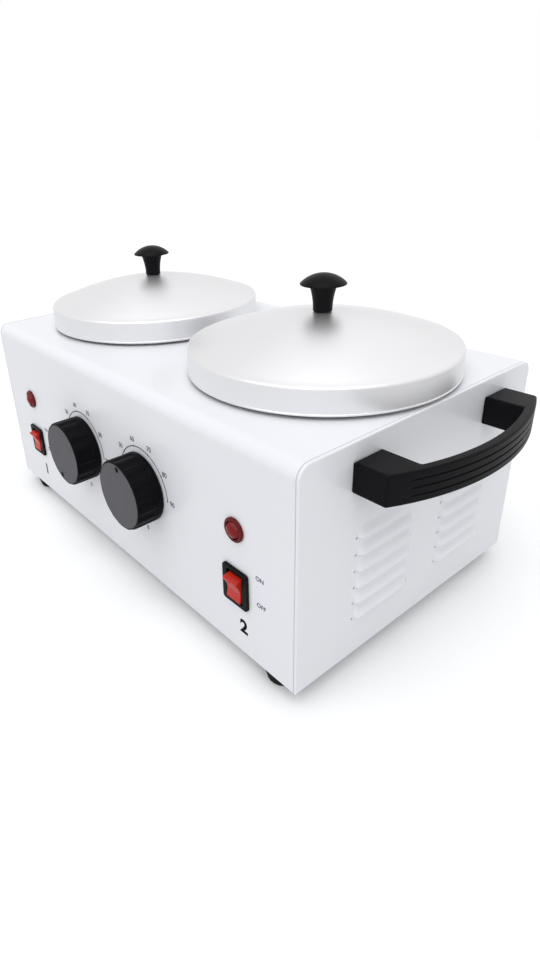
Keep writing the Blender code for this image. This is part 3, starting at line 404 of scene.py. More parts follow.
make_finish("satin_aluminium", (0.845, 0.845, 0.857), (0.815, 0.815, 0.83), (0.38, 0.44), (2600.0, 0.008),
            metallic=1.0, rings=(300.0, 0.010))
tree, shader = shader_of("satin_aluminium")
round_the_axis = add_node(tree, "Tangent", direction_type="RADIAL", axis="Z").outputs[0]
feed(tree, shader, {"Anisotropic": 0.35, "Anisotropic Rotation": 0.25, "Tangent": round_the_axis})
make_finish("turned_aluminium", (0.80, 0.80, 0.81), (0.74, 0.74, 0.76), (0.24, 0.36), (1800.0, 0.004),
            metallic=1.0, rings=(420.0, 0.012))
make_finish("plated_steel", (0.66, 0.67, 0.68), (0.60, 0.61, 0.64), (0.22, 0.38), (1500.0, 0.006),
            clouds=90.0, metallic=1.0)
make_finish("heater_steel", (0.52, 0.53, 0.54), (0.40, 0.39, 0.38), (0.38, 0.55), (900.0, 0.012),
            clouds=60.0, metallic=1.0)
make_finish("copper", (0.72, 0.36, 0.20), (0.60, 0.27, 0.14), (0.24, 0.40), (1200.0, 0.008),
            clouds=70.0, metallic=1.0)
print("paint and metals:", len(finishes))

# %% [markdown]
# The handles and knobs are black moulded plastic with the fine spark texture of the mould, slightly
# polished where hands hold them. Their edges are tinted lighter, which is wear and also a painted
# highlight along the rounded edges. The dials are the same kind of plastic, with a lighter matt face. The
# feet are rubber, which has no gloss to speak of, and print on paint is a thin dull ink.

# %% Mix the plastics, the rubber and the inks
make_finish("black_plastic", (0.003, 0.003, 0.004), (0.005, 0.005, 0.006), (0.34, 0.42), (1900.0, 0.020),
            clouds=45.0, specular=0.08)
# Lighter edges: partly wear, partly a painted highlight along the rounded edges.
rub_edges("black_plastic", (0.024, 0.024, 0.028), 0.6, 0.8)
make_finish("dial_plastic", (0.0035, 0.0035, 0.0045), (0.006, 0.006, 0.0075), (0.36, 0.46), (1700.0, 0.018),
            clouds=60.0, specular=0.04)
# Lighter grip edges: partly wear, partly a painted highlight along the grips.
rub_edges("dial_plastic", (0.030, 0.030, 0.035), 0.5, 0.8)
make_finish("dial_face_grey", (0.098, 0.096, 0.106), (0.088, 0.086, 0.096), (0.52, 0.60), (1500.0, 0.015),
            clouds=80.0, specular=0.2)
make_finish("black_rubber", (0.006, 0.006, 0.006), (0.011, 0.011, 0.011), (0.72, 0.86), (700.0, 0.040),
            clouds=90.0, specular=0.12)
make_finish("red_plastic", (0.58, 0.030, 0.014), (0.48, 0.018, 0.009), (0.20, 0.28), (900.0, 0.004),
            clouds=120.0, specular=0.3)
make_finish("red_lens", (0.27, 0.003, 0.006), (0.13, 0.001, 0.003), (0.12, 0.18), (600.0, 0.004),
            clouds=260.0, specular=0.25)
# The lamp lip's red, darkened as painted shade in and round the lip.
make_finish("dark_red_plastic", (0.14, 0.002, 0.003), (0.09, 0.001, 0.002), (0.22, 0.30), (900.0, 0.004),
            clouds=120.0, specular=0.2)
make_finish("cream_plastic", (0.78, 0.74, 0.62), (0.72, 0.67, 0.54), (0.45, 0.58), (1100.0, 0.015))
make_finish("grey_plastic", (0.16, 0.16, 0.17), (0.13, 0.13, 0.14), (0.45, 0.58), (1300.0, 0.015))
make_finish("brown_sleeve", (0.20, 0.075, 0.035), (0.16, 0.058, 0.026), (0.48, 0.60), (1000.0, 0.010))
make_finish("white_sleeve", (0.78, 0.76, 0.72), (0.62, 0.60, 0.55), (0.60, 0.75), (1400.0, 0.060),
            clouds=900.0)
make_finish("print_ink", (0.007, 0.007, 0.009), (0.013, 0.013, 0.016), (0.70, 0.80), (2500.0, 0.003),
            clouds=600.0, specular=0.03)
make_finish("scale_ink", (0.06, 0.063, 0.075), (0.10, 0.104, 0.118), (0.50, 0.60), (2500.0, 0.003),
            clouds=600.0, specular=0.03)
print("finishes in all:", len(finishes))

# %% [markdown]
# ## Tools for the shapes
# Most pieces are either turned round an axis or built up in slices. Both are rings of points joined by
# faces, so one function makes the skin and the others only work out rings. Corners are rounded in the
# outline itself, because a modelled radius shows in every light, where a Bevel modifier would also
# round what has to stay crisp.

# %% Define the skin, the outline and the slices
corner_steps = 5
pole_radius = 0.001 * MM


def join_rings(bm, first, second):
    """Faces between two rings of points, one of which may be a single pole."""
    count = max(len(first), len(second))
    for index in range(count):
        after = (index + 1) % count
        corners = [first[index % len(first)], first[after % len(first)]]
        corners += [second[after % len(second)], second[index % len(second)]]
        bm.faces.new(list(dict.fromkeys(corners)))


def skin(rings, caps=(), loop=False):
    """Rings of points joined by faces, with a face over each capped ring."""
    bm = bmesh.new()
    made = [[bm.verts.new(point) for point in ring] for ring in rings]
    pairs = list(zip(made, made[1:]))
    if loop:
        pairs.append((made[-1], made[0]))
    for first, second in pairs:
        join_rings(bm, first, second)
    for cap in caps:
        bm.faces.new(made[cap])
    return bm


def rounded(path, closed=True, steps=corner_steps):
    """(x, y, radius) corners as plain points, each corner rounded by its own radius."""
    points = []
    for index, (x, y, radius) in enumerate(path):
        here = Vector((x, y))
        at_end = not closed and index in (0, len(path) - 1)
        if radius == 0 or at_end:
            points.append(here)
            continue
        back = (Vector(path[index - 1][:2]) - here).normalized()
        on = (Vector(path[(index + 1) % len(path)][:2]) - here).normalized()
        half = back.angle(on) / 2
        center = here + (back + on).normalized() * (radius / math.sin(half))
        start = here + back * (radius / math.tan(half)) - center
        end = here + on * (radius / math.tan(half)) - center
        sweep = math.atan2(start.x * end.y - start.y * end.x, start.dot(end))
        for step in range(steps + 1):
            points.append(center + Matrix.Rotation(sweep * step / steps, 2) @ start)
    return points


def cornered(points, corners):
    """(x, y) points with their corner radii, which are given in mm in the same order."""
    return [(x, y, corner * MM) for (x, y), corner in zip(points, corners)]


def turned(profile, steps):
    """A body turned round Z from (radius, height, corner radius) points, as a closed skin."""
    open_ended = profile[0][0] == 0
    rings = []
    for radius, height in rounded(profile, closed=not open_ended):
        if radius < pole_radius:
            rings.append([(0, 0, height)])
            continue
        angles = [2 * math.pi * step / steps for step in range(steps)]
        rings.append([(radius * math.cos(a), radius * math.sin(a), height) for a in angles])
    return skin(rings, loop=not open_ended)


def inset(outline, amount):
    """A closed outline drawn in by an amount, or by one amount for each point."""
    amounts = amount if isinstance(amount, list) else [amount] * len(outline)
    area = sum(a.x * b.y - a.y * b.x for a, b in zip(outline, outline[1:] + outline[:1]))
    turn = 1 if area > 0 else -1
    points = []
    for index, here in enumerate(outline):
        before = (here - outline[index - 1]).normalized()
        after = (outline[(index + 1) % len(outline)] - here).normalized()
        across = Vector((-before.y - after.y, before.x + after.x)) * turn
        points.append(here + across * (amounts[index] * 2 / across.length_squared))
    return points


def rounded_box(width, height, radius):
    """The outline of a rectangle round the middle with rounded corners."""
    x, y = width / 2, height / 2
    return rounded([(x, y, radius), (-x, y, radius), (-x, -y, radius), (x, -y, radius)])


def at_height(outline, height):
    """A flat outline lifted to a height on Z."""
    return [(point[0], point[1], height) for point in outline]


def quarter(radius, steps):
    """The steps of a quarter round: how far each lies below the top, and how far it is drawn in."""
    angles = [math.pi / 2 * step / steps for step in range(steps + 1)]
    return [(radius * (1 - math.sin(a)), radius * (1 - math.cos(a))) for a in angles]


def arc_radius(half, rise):
    """The radius of an arc from its half width and how far it rises in the middle."""
    return (half ** 2 + rise ** 2) / (2 * rise)


def soft_slices(outline, low, high, edge, steps=4):
    """The slices of an extruded outline whose two end edges are rounded by a radius."""
    bottom = [(low + drop, draw) for drop, draw in quarter(edge, steps)[::-1]]
    top = [(high - drop, draw) for drop, draw in quarter(edge, steps)]
    return [at_height(inset(outline, draw), height) for height, draw in bottom + top]


# %% [markdown]
# A sheet has real holes where the lamps, switches, wells and screws go through it. Cutting them with a
# Boolean keeps the bent sheet simple to draw. The cut is applied at once, so no helper is left behind.

# %% Define cutting, joining and adding a piece
UPRIGHT = Matrix.Identity(4)
FRONT = Matrix.Rotation(math.pi / 2, 4, "X")
BACK = Matrix.Rotation(-math.pi / 2, 4, "X")
SIDEWAYS = Matrix.Rotation(math.pi / 2, 4, "Y")
smooth_angle = math.radians(35)
cut_depth = 6 * MM


def moved(bm, spot, turn=UPRIGHT):
    """The same body turned and then shifted to a spot."""
    bmesh.ops.transform(bm, matrix=Matrix.Translation(spot) @ turn, verts=bm.verts)
    return bm


def rod(radius, low=-cut_depth, high=cut_depth, steps=48):
    """A plain round bar on Z, mostly used to cut holes."""
    return turned([(0, low, 0), (radius, low, 0), (radius, high, 0), (0, high, 0)], steps)


def to_mesh(bm, name):
    """The body as a mesh with its faces pointing out."""
    bmesh.ops.recalc_face_normals(bm, faces=bm.faces)
    mesh = bpy.data.meshes.new(name)
    bm.to_mesh(mesh)
    bm.free()
    return mesh


def joined(bodies):
    """Several bodies in one."""
    result = bmesh.new()
    for body in bodies:
        mesh = to_mesh(body, "part_of_many")
        result.from_mesh(mesh)
        bpy.data.meshes.remove(mesh)
    return result


def evaluated(helper):
    """The body that an object shows, with its modifiers at work."""
    depsgraph = bpy.context.evaluated_depsgraph_get()
    bm = bmesh.new()
    bm.from_mesh(helper.evaluated_get(depsgraph).to_mesh())
    return bm


def cut_out(body, cutters):
    """The body with the cutters' shapes taken out of it."""
    shapes = {"uncut": body, "cutter": joined(cutters)}
    uncut, cutter = [new_object(name, to_mesh(bm, name)) for name, bm in shapes.items()]
    cut = uncut.modifiers.new("holes", "BOOLEAN")
    cut.operation = "DIFFERENCE"
    cut.object = cutter
    result = evaluated(uncut)
    for helper in (uncut, cutter):
        mesh = helper.data
        bpy.data.objects.remove(helper, do_unlink=True)
        bpy.data.meshes.remove(mesh)
    return result


def add_piece(name, bm, finish, node, spot, turn=UPRIGHT, body="housing", angle=smooth_angle):
    """A visible piece with its finishes and place, which stands for a node, if any, and rides on a body."""
    mesh = to_mesh(bm, name)
    mesh.shade_smooth()
    mesh.set_sharp_from_angle(angle=angle)
    names = finish if isinstance(finish, tuple) else (finish,)
    for each in names:
        mesh.materials.append(finishes[each])
    piece = new_object(name, mesh)
    piece.matrix_world = Matrix.Translation(spot) @ turn
    even = piece.modifiers.new("even_shading", "WEIGHTED_NORMAL")
    even.keep_sharp = True
    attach(piece, body)
    if node:
        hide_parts(node)


# %% [markdown]
# ## The casing wrap
# One sheet is bent over the front, the top and the back. The bends have an 8 mm radius, drawn in many
# steps so that the highlight runs along them smoothly, and the cut ends of the sheet are slightly
# broken, which makes the thin line beside the side panels. A bevelled box would have no real thickness.

# %% Bend the casing wrap
bend_radius = 8 * MM
bend_steps = 20
sheet = 1.2 * MM
end_break = 0.3 * MM
seam_ease = 0.3 * MM


def casing_outline(draw):
    """The casing's side view from the front bottom over the top to the back bottom, drawn in evenly."""
    half = (back_y - front_y) / 2
    top = casing_height
    path = [(-half + draw, draw, 0), (-half + draw, top - draw, bend_radius - draw)]
    path += [(half - draw, top - draw, bend_radius - draw), (half - draw, draw, 0)]
    return rounded(path, closed=False, steps=bend_steps)


def band_at(place, draw):
    """The sheet's cut end at one place along X, drawn in on both of its faces."""
    outer = casing_outline(draw)
    inner = casing_outline(sheet - draw)
    inner[0].y = inner[-1].y = draw
    return [(place, point.x, point.y) for point in outer + inner[::-1]]


wrap_start, wrap_end = wrap_low.x + seam_ease, wrap_high.x - seam_ease
rings = [band_at(wrap_start, end_break), band_at(wrap_start + end_break, 0)]
rings += [band_at(wrap_end - end_break, 0), band_at(wrap_end, end_break)]
wrap = skin(rings)
for ring_start in (0, len(wrap.verts) - len(rings[0])):
    wrap.verts.ensure_lookup_table()
    ring = wrap.verts[ring_start:ring_start + len(rings[0])]
    for index in range(len(ring) // 2 - 1):
        wrap.faces.new((ring[index], ring[index + 1], ring[-index - 2], ring[-index - 1]))
print("wrap faces:", len(wrap.faces))

# %% [markdown]
# The holes are cut a little wider than what goes through them: round ones for the wells, the dial
# spindles' bushings, the lamps and the cord gland, and square ones for the switches.

# %% Cut the holes of the wrap
hole_ease = 0.3 * MM
well_hole_radius = 74 * MM
well_steps = 160
bushing_radius = 5.3 * MM
lamp_body_radius = 5.4 * MM
switch_body = (18 * MM, 21.6 * MM)
gland_neck_radius = 7 * MM


def front_spot(node):
    """The place on the sheet's front behind a control's middle, from the casing's zero point."""
    return middle(node, y=front_y) - casing_middle


cutters = []
for side in SIDES:
    well_spot = middle(side + "_heating_well", z=wrap_high.z) - casing_middle
    cutters.append(moved(rod(well_hole_radius, steps=well_steps), well_spot))
    cutters.append(moved(rod(bushing_radius), front_spot(side + "_dial"), FRONT))
    cutters.append(moved(rod(lamp_body_radius + hole_ease), front_spot(side + "_lamp"), FRONT))
    square = rounded_box(*(size + 2 * hole_ease for size in switch_body), 0)
    switch_hole = skin([at_height(square, z) for z in (-cut_depth, cut_depth)], (0, -1))
    cutters.append(moved(switch_hole, front_spot(side + "_switch_housing"), FRONT))
gland_spot = middle("cord_gland", y=back_y)
cutters.append(moved(rod(gland_neck_radius + hole_ease), gland_spot - casing_middle, BACK))
print("holes cut:", len(cutters))
add_piece("casing_wrap_sheet", cut_out(wrap, cutters), "white_paint", "casing_wrap", casing_middle)

# %% [markdown]
# ## The side panels
# Each panel is a flat sheet with a rounded edge and a flange that slides inside the wrap. Twelve louvres
# are pressed out of it: the steel is slit along the bottom of each and pushed out in a smooth hood. A
# grid is the natural way to draw that, because each slit is one row of points that exists twice, once
# on the sheet and once on the raised lip. The inside is a second grid, so the sheet has its thickness.

# %% Set out the louvres
panel_thickness = 1.5 * MM
panel_edge = 0.9 * MM
panel_gap = 0.3 * MM
flange_draw = 1.5 * MM
flange_depth = 7 * MM
louvre_rows = 6
louvre_pitch = 11 * MM
louvre_first = 27 * MM
louvre_length = 48 * MM
louvre_height = 7 * MM
louvre_lip = 0.9 * MM
louvre_end = 5 * MM
louvre_columns_apart = 79 * MM
hood_steepness = 1.15
end_steps = 5
up_steps = 9
side_x = wrap_high.x + panel_gap + panel_thickness
louvre_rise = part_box("right_side_panel")[1].x - side_x
handle_y = middle("right_handle").y - casing_middle.y
column_middles = [handle_y + column * louvre_columns_apart / 2 for column in (-1, 1)]
print("louvres stand out by", round(louvre_rise / MM, 2), "mm")


def hood_across(share):
    """How far out the hood stands, as a share, along its length: full in the middle, round at the ends."""
    from_end = min(share, 1 - share) * louvre_length / louvre_end
    return math.sqrt(1 - (1 - from_end) ** 2) if from_end < 1 else 1.0


def hood_up(share):
    """How far out the hood stands, as a share, from its top (0) down to its open lip (1).

    It is full a little above the lip, so the lip itself stands straight.
    """
    return (1 - math.cos(math.pi * min(1, share * hood_steepness))) / 2


def louvre_grid():
    """The places along Y and Z of the grid's lines, and the louvre share of each."""
    ends = [draw / louvre_length for drop, draw in quarter(louvre_end, end_steps)]
    shares = ends + [0.5] + [1 - share for share in ends[::-1]]
    across = [(place - louvre_length / 2 + share * louvre_length, share)
              for place in column_middles for share in shares]
    upward = [(louvre_first + row * louvre_pitch + louvre_height * step / up_steps, 1 - step / up_steps)
              for row in range(louvre_rows) for step in range(up_steps + 1)]
    return across, upward


# %% [markdown]
# The panel's skin then has three parts on each face: the grid with the louvres, the plain field round
# it, which one fill makes between the grid's border and the panel's outline, and the rings that carry
# the outline over the rounded edge and back along the flange.

# %% Press the side panels
def panel_face(bm, plane, rise, across, upward):
    """One face of the louvre field: its rows of points, with the raised lips as rows of their own."""
    rows, lips = [], []
    for z, up_share in upward:
        row, lip = [], []
        for y, across_share in across:
            out = rise * hood_up(up_share) * hood_across(across_share)
            is_lip = up_share == 1
            row.append(bm.verts.new((plane + (0 if is_lip else out), y, z)))
            lip.append(bm.verts.new((plane + out, y, z)) if is_lip and out > 0 else row[-1])
        rows.append(row)
        lips.append(lip)
    for low_lip, high_row in zip(lips, rows[1:]):
        for index in range(len(across) - 1):
            bm.faces.new((low_lip[index], low_lip[index + 1], high_row[index + 1], high_row[index]))
    return rows, lips


def close_slits(bm, outer_face, inner_face):
    """The sheet's cut edges along each slit, on the flat sheet and on the raised lip."""
    outer_rows, outer_lips = outer_face
    for row in range(0, len(outer_rows), up_steps + 1):
        for index in range(len(outer_rows[row]) - 1):
            ends = (index, index + 1)
            if all(outer_lips[row][end] is outer_rows[row][end] for end in ends):
                continue
            for outer, inner in zip(outer_face, inner_face):
                bm.faces.new([outer[row][end] for end in ends] + [inner[row][end] for end in ends[::-1]])


def fill_field(bm, border, rows):
    """The plain field between the panel's outline and the border of the louvre grid."""
    rim = rows[0] + [row[-1] for row in rows[1:-1]] + rows[-1][::-1] + [row[0] for row in rows[-2:0:-1]]
    edges = []
    for chain in (border, rim):
        for pair in zip(chain, chain[1:] + chain[:1]):
            edges.append(bm.edges.get(pair) or bm.edges.new(pair))
    bmesh.ops.triangle_fill(bm, use_beauty=True, use_dissolve=False, edges=edges)


def make_panel(sign):
    """One side panel, drawn for the right side and mirrored for the left."""
    bm = bmesh.new()
    grid = louvre_grid()
    inner_x = side_x - panel_thickness
    outer_face = panel_face(bm, side_x, louvre_rise, *grid)
    inner_face = panel_face(bm, inner_x, louvre_rise + panel_thickness - louvre_lip, *grid)
    close_slits(bm, outer_face, inner_face)
    levels = [(side_x - drop, draw) for drop, draw in quarter(panel_edge, end_steps)[::-1]]
    levels += [(inner_x, 0), (inner_x, flange_draw), (inner_x - flange_depth, flange_draw)]
    levels += [(inner_x - flange_depth, flange_draw + sheet), (inner_x, flange_draw + sheet)]
    rings = [[bm.verts.new((place, point.x, point.y)) for point in casing_outline(draw)]
             for place, draw in levels]
    for first, second in zip(rings, rings[1:]):
        join_rings(bm, first, second)
    fill_field(bm, rings[0], outer_face[0])
    fill_field(bm, rings[-1], inner_face[0])
    if sign < 0:
        bmesh.ops.scale(bm, vec=(-1, 1, 1), verts=bm.verts)
        bmesh.ops.reverse_faces(bm, faces=bm.faces)
    return bm


panels = {side: make_panel(sign) for side, sign in SIDES.items()}
for side, panel in panels.items():
    loose = [edge for edge in panel.edges if len(edge.link_faces) != 2]
    print(side, "panel faces:", len(panel.faces), "edges without two faces:", len(loose))

# %% [markdown]
# A small round hole ends each slit, so that the sheet doesn't tear when it is pressed. The handles'
# screws go through two more. All are cut in one Boolean for each panel.

# %% Cut the holes of the panels
handle_screw_radius = 2.2 * MM
relief_radius = 0.85 * MM
relief_beyond = 0.9 * MM
relief_steps = 20


def relief_holes(sign):
    """The cutters of the holes that end the slits of one panel."""
    holes = []
    for place in column_middles:
        for end in (-1, 1):
            y = place + end * (louvre_length / 2 + relief_beyond)
            for row in range(louvre_rows):
                spot = (sign * side_x, y, louvre_first + row * louvre_pitch)
                holes.append(moved(rod(relief_radius, steps=relief_steps), spot, SIDEWAYS))
    return holes


for side, sign in SIDES.items():
    cutters = relief_holes(sign)
    for place in ("front", "back"):
        spot = middle(side + "_handle_" + place + "_screw", x=sign * side_x) - casing_middle
        cutters.append(moved(rod(handle_screw_radius), spot, SIDEWAYS))
    panel = cut_out(panels[side], cutters)
    add_piece(side + "_panel_sheet", panel, "white_paint", side + "_side_panel", casing_middle)
print("holes in each panel:", len(cutters))

# %% [markdown]
# ## Feet and gland
# The feet are moulded rubber buttons that narrow towards the floor, each with a recess for its screw.
# The gland is the rubber ring in the back that the mains cord would pass through. Both are turned
# shapes, so a profile with rounded corners is all that they need.

# %% Turn the feet and the gland
round_steps = 72
foot_low, foot_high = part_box("front_right_foot")
foot_height = foot_high.z - foot_low.z
foot_radius = (foot_high.x - foot_low.x) / 2
foot_bottom_radius = 9 * MM
foot_recess_radius = 3.9 * MM
foot_recess_depth = 4 * MM
foot_hole_radius = 2.2 * MM
foot_corners = (0.4, 1.6, 0.7, 0, 0, 0.4)
foot_points = [(foot_recess_radius, 0), (foot_bottom_radius, 0), (foot_radius, foot_height),
               (foot_hole_radius, foot_height), (foot_hole_radius, foot_recess_depth),
               (foot_recess_radius, foot_recess_depth)]
for end in ("front", "back"):
    for side in SIDES:
        node = end + "_" + side + "_foot"
        spot = middle(node, z=foot_low.z)
        foot = turned(cornered(foot_points, foot_corners), round_steps)
        add_piece(node + "_rubber", foot, "black_rubber", node, spot)

gland_low, gland_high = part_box("cord_gland")
gland_radius = (gland_high.x - gland_low.x) / 2
gland_bore = 4.3 * MM
gland_flange = 3 * MM
gland_corners = (0.6, 1, 0.4, 0, 0, 0.4, 1.2, 0.8)
out = gland_high.y - back_y
inside = gland_low.y - back_y
gland_points = [(gland_bore, inside), (gland_radius, inside), (gland_radius, inside + gland_flange),
                (gland_neck_radius, inside + gland_flange), (gland_neck_radius, out - gland_flange),
                (gland_radius, out - gland_flange), (gland_radius, out), (gland_bore, out)]
gland = turned(cornered(gland_points, gland_corners), round_steps)
add_piece("cord_gland_ring", gland, "black_rubber", "cord_gland", gland_spot, BACK)
print("feet: 4, gland bore in mm:", gland_bore / MM)

# %% [markdown]
# ## Wells and pots
# Spun aluminium cups: the well hangs by its flange in the top of the casing, and the pot sits in it on
# a flange of its own. Turning marks show on the inside when the lid is off. The well's flange is drawn
# back a little, so that a thin dark line shows below the lid's rim.

# %% Turn the wells and the pots
cup_sizes = {"heating_well": (73.5, 1.5, 6, 1.5, 3), "wax_pot": (71.2, 1.2, 5, 1.2, 0)}
throat_corner = 0.5 * MM
mouth_corner = 1.2 * MM
flange_corner_shares = (0.3, 0.45)


def cup_profile(radius, wall, corner, flange, flange_radius, top):
    """A flat-bottomed cup with a level flange, as corners with their rounding."""
    low_corner, high_corner = (wall * share for share in flange_corner_shares)
    return [(0, 0, 0), (radius, 0, corner), (radius, top - flange, throat_corner),
            (flange_radius, top - flange, low_corner), (flange_radius, top, high_corner),
            (radius - wall, top, mouth_corner), (radius - wall, wall, corner - wall), (0, wall, 0)]


for side in SIDES:
    for word, sizes in cup_sizes.items():
        node = side + "_" + word
        low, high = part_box(node)
        radius, wall, corner, flange, drawn_back = (size * MM for size in sizes)
        flange_radius = (high.x - low.x) / 2 - drawn_back
        cup = turned(cup_profile(radius, wall, corner, flange, flange_radius, high.z - low.z), well_steps)
        body = "housing" if word == "heating_well" else side + "_pot"
        add_piece(node + "_cup", cup, "turned_aluminium", node, middle(node, z=low.z), body=body)
        print(node, "depth in mm:", round((high.z - low.z) / MM, 1))

# %% [markdown]
# ## The lids
# A lid is spun from aluminium sheet and then blasted to an even satin. It has a shallow dome, a tight
# shoulder that catches a bright line, a straight rim and a small rolled bead. The profile follows the
# real sheet, inside as well, because the lid can be lifted and looked into.

# %% Turn the lids
lid_low, lid_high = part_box("right_lid")
lid_height = lid_high.z - lid_low.z
bead_room = 0.9 * MM
lid_radius = (lid_high.x - lid_low.x) / 2 - bead_room
bead_radius = lid_radius + 0.15 * MM
bead_height = 1.2 * MM
bead_corners = (0.4, 0.7, 0.5, 0.3)
lid_rim = 16 * MM
lid_wall = 1.2 * MM
lid_shoulder = 1.6 * MM
shoulder_drop = 0.1 * MM
lid_land = 8 * MM
screw_hole = 2.2 * MM
dome_steps = 36
lid_steps = 192
crown = 2.4 * MM


def dome(radius, base, rise):
    """Points of a shallow dome from its middle out to its edge, drawn up a little towards the knob."""
    sphere = arc_radius(radius, rise)
    points = []
    for step in range(dome_steps + 1):
        out = lid_land + (radius - lid_land) * step / dome_steps
        drawn_up = crown * ((radius - out) / (radius - lid_land)) ** 2
        points.append((out, base + rise - sphere + math.sqrt(sphere ** 2 - out ** 2) + drawn_up, 0))
    return points


def shell(radius, rim):
    """One face of the lid: its dome and the corner of its shoulder."""
    surface = dome(radius - lid_shoulder, rim, lid_height - lid_rim)[:-1]
    return surface + [(radius, rim - shoulder_drop, lid_shoulder)]


def lid_profile():
    """The lid's section as a closed run of corners, over the outside and back along the inside."""
    inner = lid_radius - lid_wall
    bead = [(lid_radius, bead_height), (bead_radius, bead_height), (bead_radius, 0), (inner, 0)]
    top = lid_height + crown
    hole = [(screw_hole, top - lid_wall, 0), (screw_hole, top, 0)]
    outside = shell(lid_radius, lid_rim) + cornered(bead, bead_corners)
    return outside + shell(inner, lid_rim - lid_wall)[::-1] + hole


for side in SIDES:
    spot = middle(side + "_lid", z=lid_low.z)
    lid = turned(lid_profile(), lid_steps)
    add_piece(side + "_lid_shell", lid, "satin_aluminium", side + "_lid", spot, body=side + "_lid_and_knob")
print("lid across and high in mm:", round(2 * bead_radius / MM, 1), round(lid_height / MM, 1))

# %% [markdown]
# ## The knobs
# A mushroom knob: a slim stem that flares under a low domed cap with a thin sharp rim. It is one black
# moulding with a bore for its screw. The flare is a curve of its own, as it is what fingers hold.

# %% Turn the knobs
knob_low, knob_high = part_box("right_lid_knob")
knob_height = knob_high.z - knob_low.z
cap_radius = (knob_high.x - knob_low.x) / 2
cap_rise = 6 * MM
cap_rim = 0.7 * MM
rim_corner = 0.3 * MM
stem_radius = 6 * MM
stem_corner = 0.5 * MM
neck_radius = 8.4 * MM
cap_hollow = 1.0 * MM
bore_depth = 13 * MM
knob_gap = 0.1 * MM
flare_steps = 14
flare_power = 2.2
cap_steps = 15
knob_steps = 96


def knob_profile():
    """The knob's section from the bore up the flaring stem, under the cap and over its dome."""
    rim_top = knob_height - cap_rise
    neck = rim_top - cap_rim - cap_hollow
    base = crown + knob_gap
    profile = [(0, bore_depth, 0), (screw_hole, bore_depth, 0), (screw_hole, base, 0)]
    profile.append((stem_radius, base, stem_corner))
    for step in range(1, flare_steps + 1):
        share = step / flare_steps
        flare = (neck_radius - stem_radius) * share ** flare_power
        profile.append((stem_radius + flare, base + (neck - base) * share, 0))
    profile += [(cap_radius, rim_top - cap_rim, rim_corner), (cap_radius, rim_top, rim_corner)]
    sphere = arc_radius(cap_radius, cap_rise)
    for step in range(1, cap_steps):
        out = cap_radius * (1 - step / cap_steps)
        profile.append((out, knob_height - sphere + math.sqrt(sphere ** 2 - out ** 2), 0))
    return profile + [(0, knob_height, 0)]


for side in SIDES:
    spot = middle(side + "_lid_knob", z=knob_low.z)
    knob = turned(knob_profile(), knob_steps)
    add_piece(side + "_mushroom_knob", knob, "black_plastic", side + "_lid_knob", spot,
              body=side + "_lid_and_knob")
print("knob height in mm:", round(knob_height / MM, 1))

# %% [markdown]
# ## The dials
# Each dial is a deep round moulding with sixteen broad grips round its side, a plain collar at the
# panel and a flat matt face. The grips are a radius that swells and falls round the circle, taken in
# slices from the collar to the face, so that they fade out at both ends as they do in the mould.

# %% Shape the dials
dial_low, dial_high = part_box("right_dial")
dot_height = 0.10 * MM
dial_radius = (dial_high.x - dial_low.x) / 2
dial_back = front_y - dial_high.y
dial_front = front_y - dial_low.y - dot_height
dial_wall = 2.2 * MM
dial_face_wall = 3 * MM
dial_turns = {"left": math.radians(18), "right": math.radians(186)}
hub_radius = 5.5 * MM
hub_start = 4.8 * MM
spindle_radius = 3.3 * MM
spindle_end = 13.8 * MM
spindle_tip = 0.05 * MM
collar_depth = 3.6 * MM
collar_corner = 0.4 * MM
grip_count = 16
grip_points = 14
grip_sharpness = 3
grip_depth = 0.8 * MM
grip_start = 0.8 * MM
grip_start_shares = (0.25, 0.5, 0.75, 1)
grip_start_power = 1.5
grip_end = 0.3 * MM
grip_end_draw = 0.05 * MM
grip_end_share = 0.9
face_border = 1.4 * MM
face_round = 0.9 * MM
face_draw = 0.1 * MM
face_inset = 0.7 * MM
face_grip_share = 0.8
face_steps = 5


def grip_outline(radius, depth):
    """A circle whose radius falls by a depth between the grips, with soft flanks."""
    points = []
    total = grip_count * grip_points
    for index in range(total):
        wave = math.cos(2 * math.pi * index / grip_points)
        fall = (1 - math.tanh(grip_sharpness * wave) / math.tanh(grip_sharpness)) / 2
        angle = 2 * math.pi * index / total
        points.append(((radius - depth * fall) * math.cos(angle), (radius - depth * fall) * math.sin(angle)))
    return points


def make_dial():
    """The dial as slices from its hollow back over the collar and grips to the face."""
    hollow = dial_radius - grip_depth - dial_wall
    hollow_top = dial_front - dial_face_wall
    collar_top = collar_depth + dial_back
    border = dial_front - face_border - face_round
    slices = [(spindle_end, spindle_tip, 0), (spindle_end, spindle_radius, 0), (hub_start, spindle_radius, 0),
              (hub_start, hub_radius, 0), (hollow_top, hub_radius, 0), (hollow_top, hollow, 0),
              (dial_back, hollow, 0), (dial_back, dial_radius - collar_corner, 0),
              (dial_back + collar_corner, dial_radius, 0), (collar_top, dial_radius, 0)]
    slices += [(collar_top + grip_start * share, dial_radius, grip_depth * share ** grip_start_power)
               for share in grip_start_shares]
    slices += [(border, dial_radius, grip_depth),
               (border + grip_end, dial_radius - grip_end_draw, grip_depth * grip_end_share)]
    for step in range(face_steps + 1):
        angle = math.pi / 2 * step / face_steps
        slices.append((dial_front - face_border * (1 - math.sin(angle)),
                       dial_radius - face_round * (1 - math.cos(angle)) - face_draw,
                       grip_depth * (1 - step / face_steps) * face_grip_share))
    slices.append((dial_front, dial_radius - face_round - face_inset, 0))
    rings = [at_height(grip_outline(radius, depth), height) for height, radius, depth in slices]
    bm = skin(rings, caps=(0, -1))
    bm.faces.ensure_lookup_table()
    bm.faces[-1].material_index = 1
    return bm


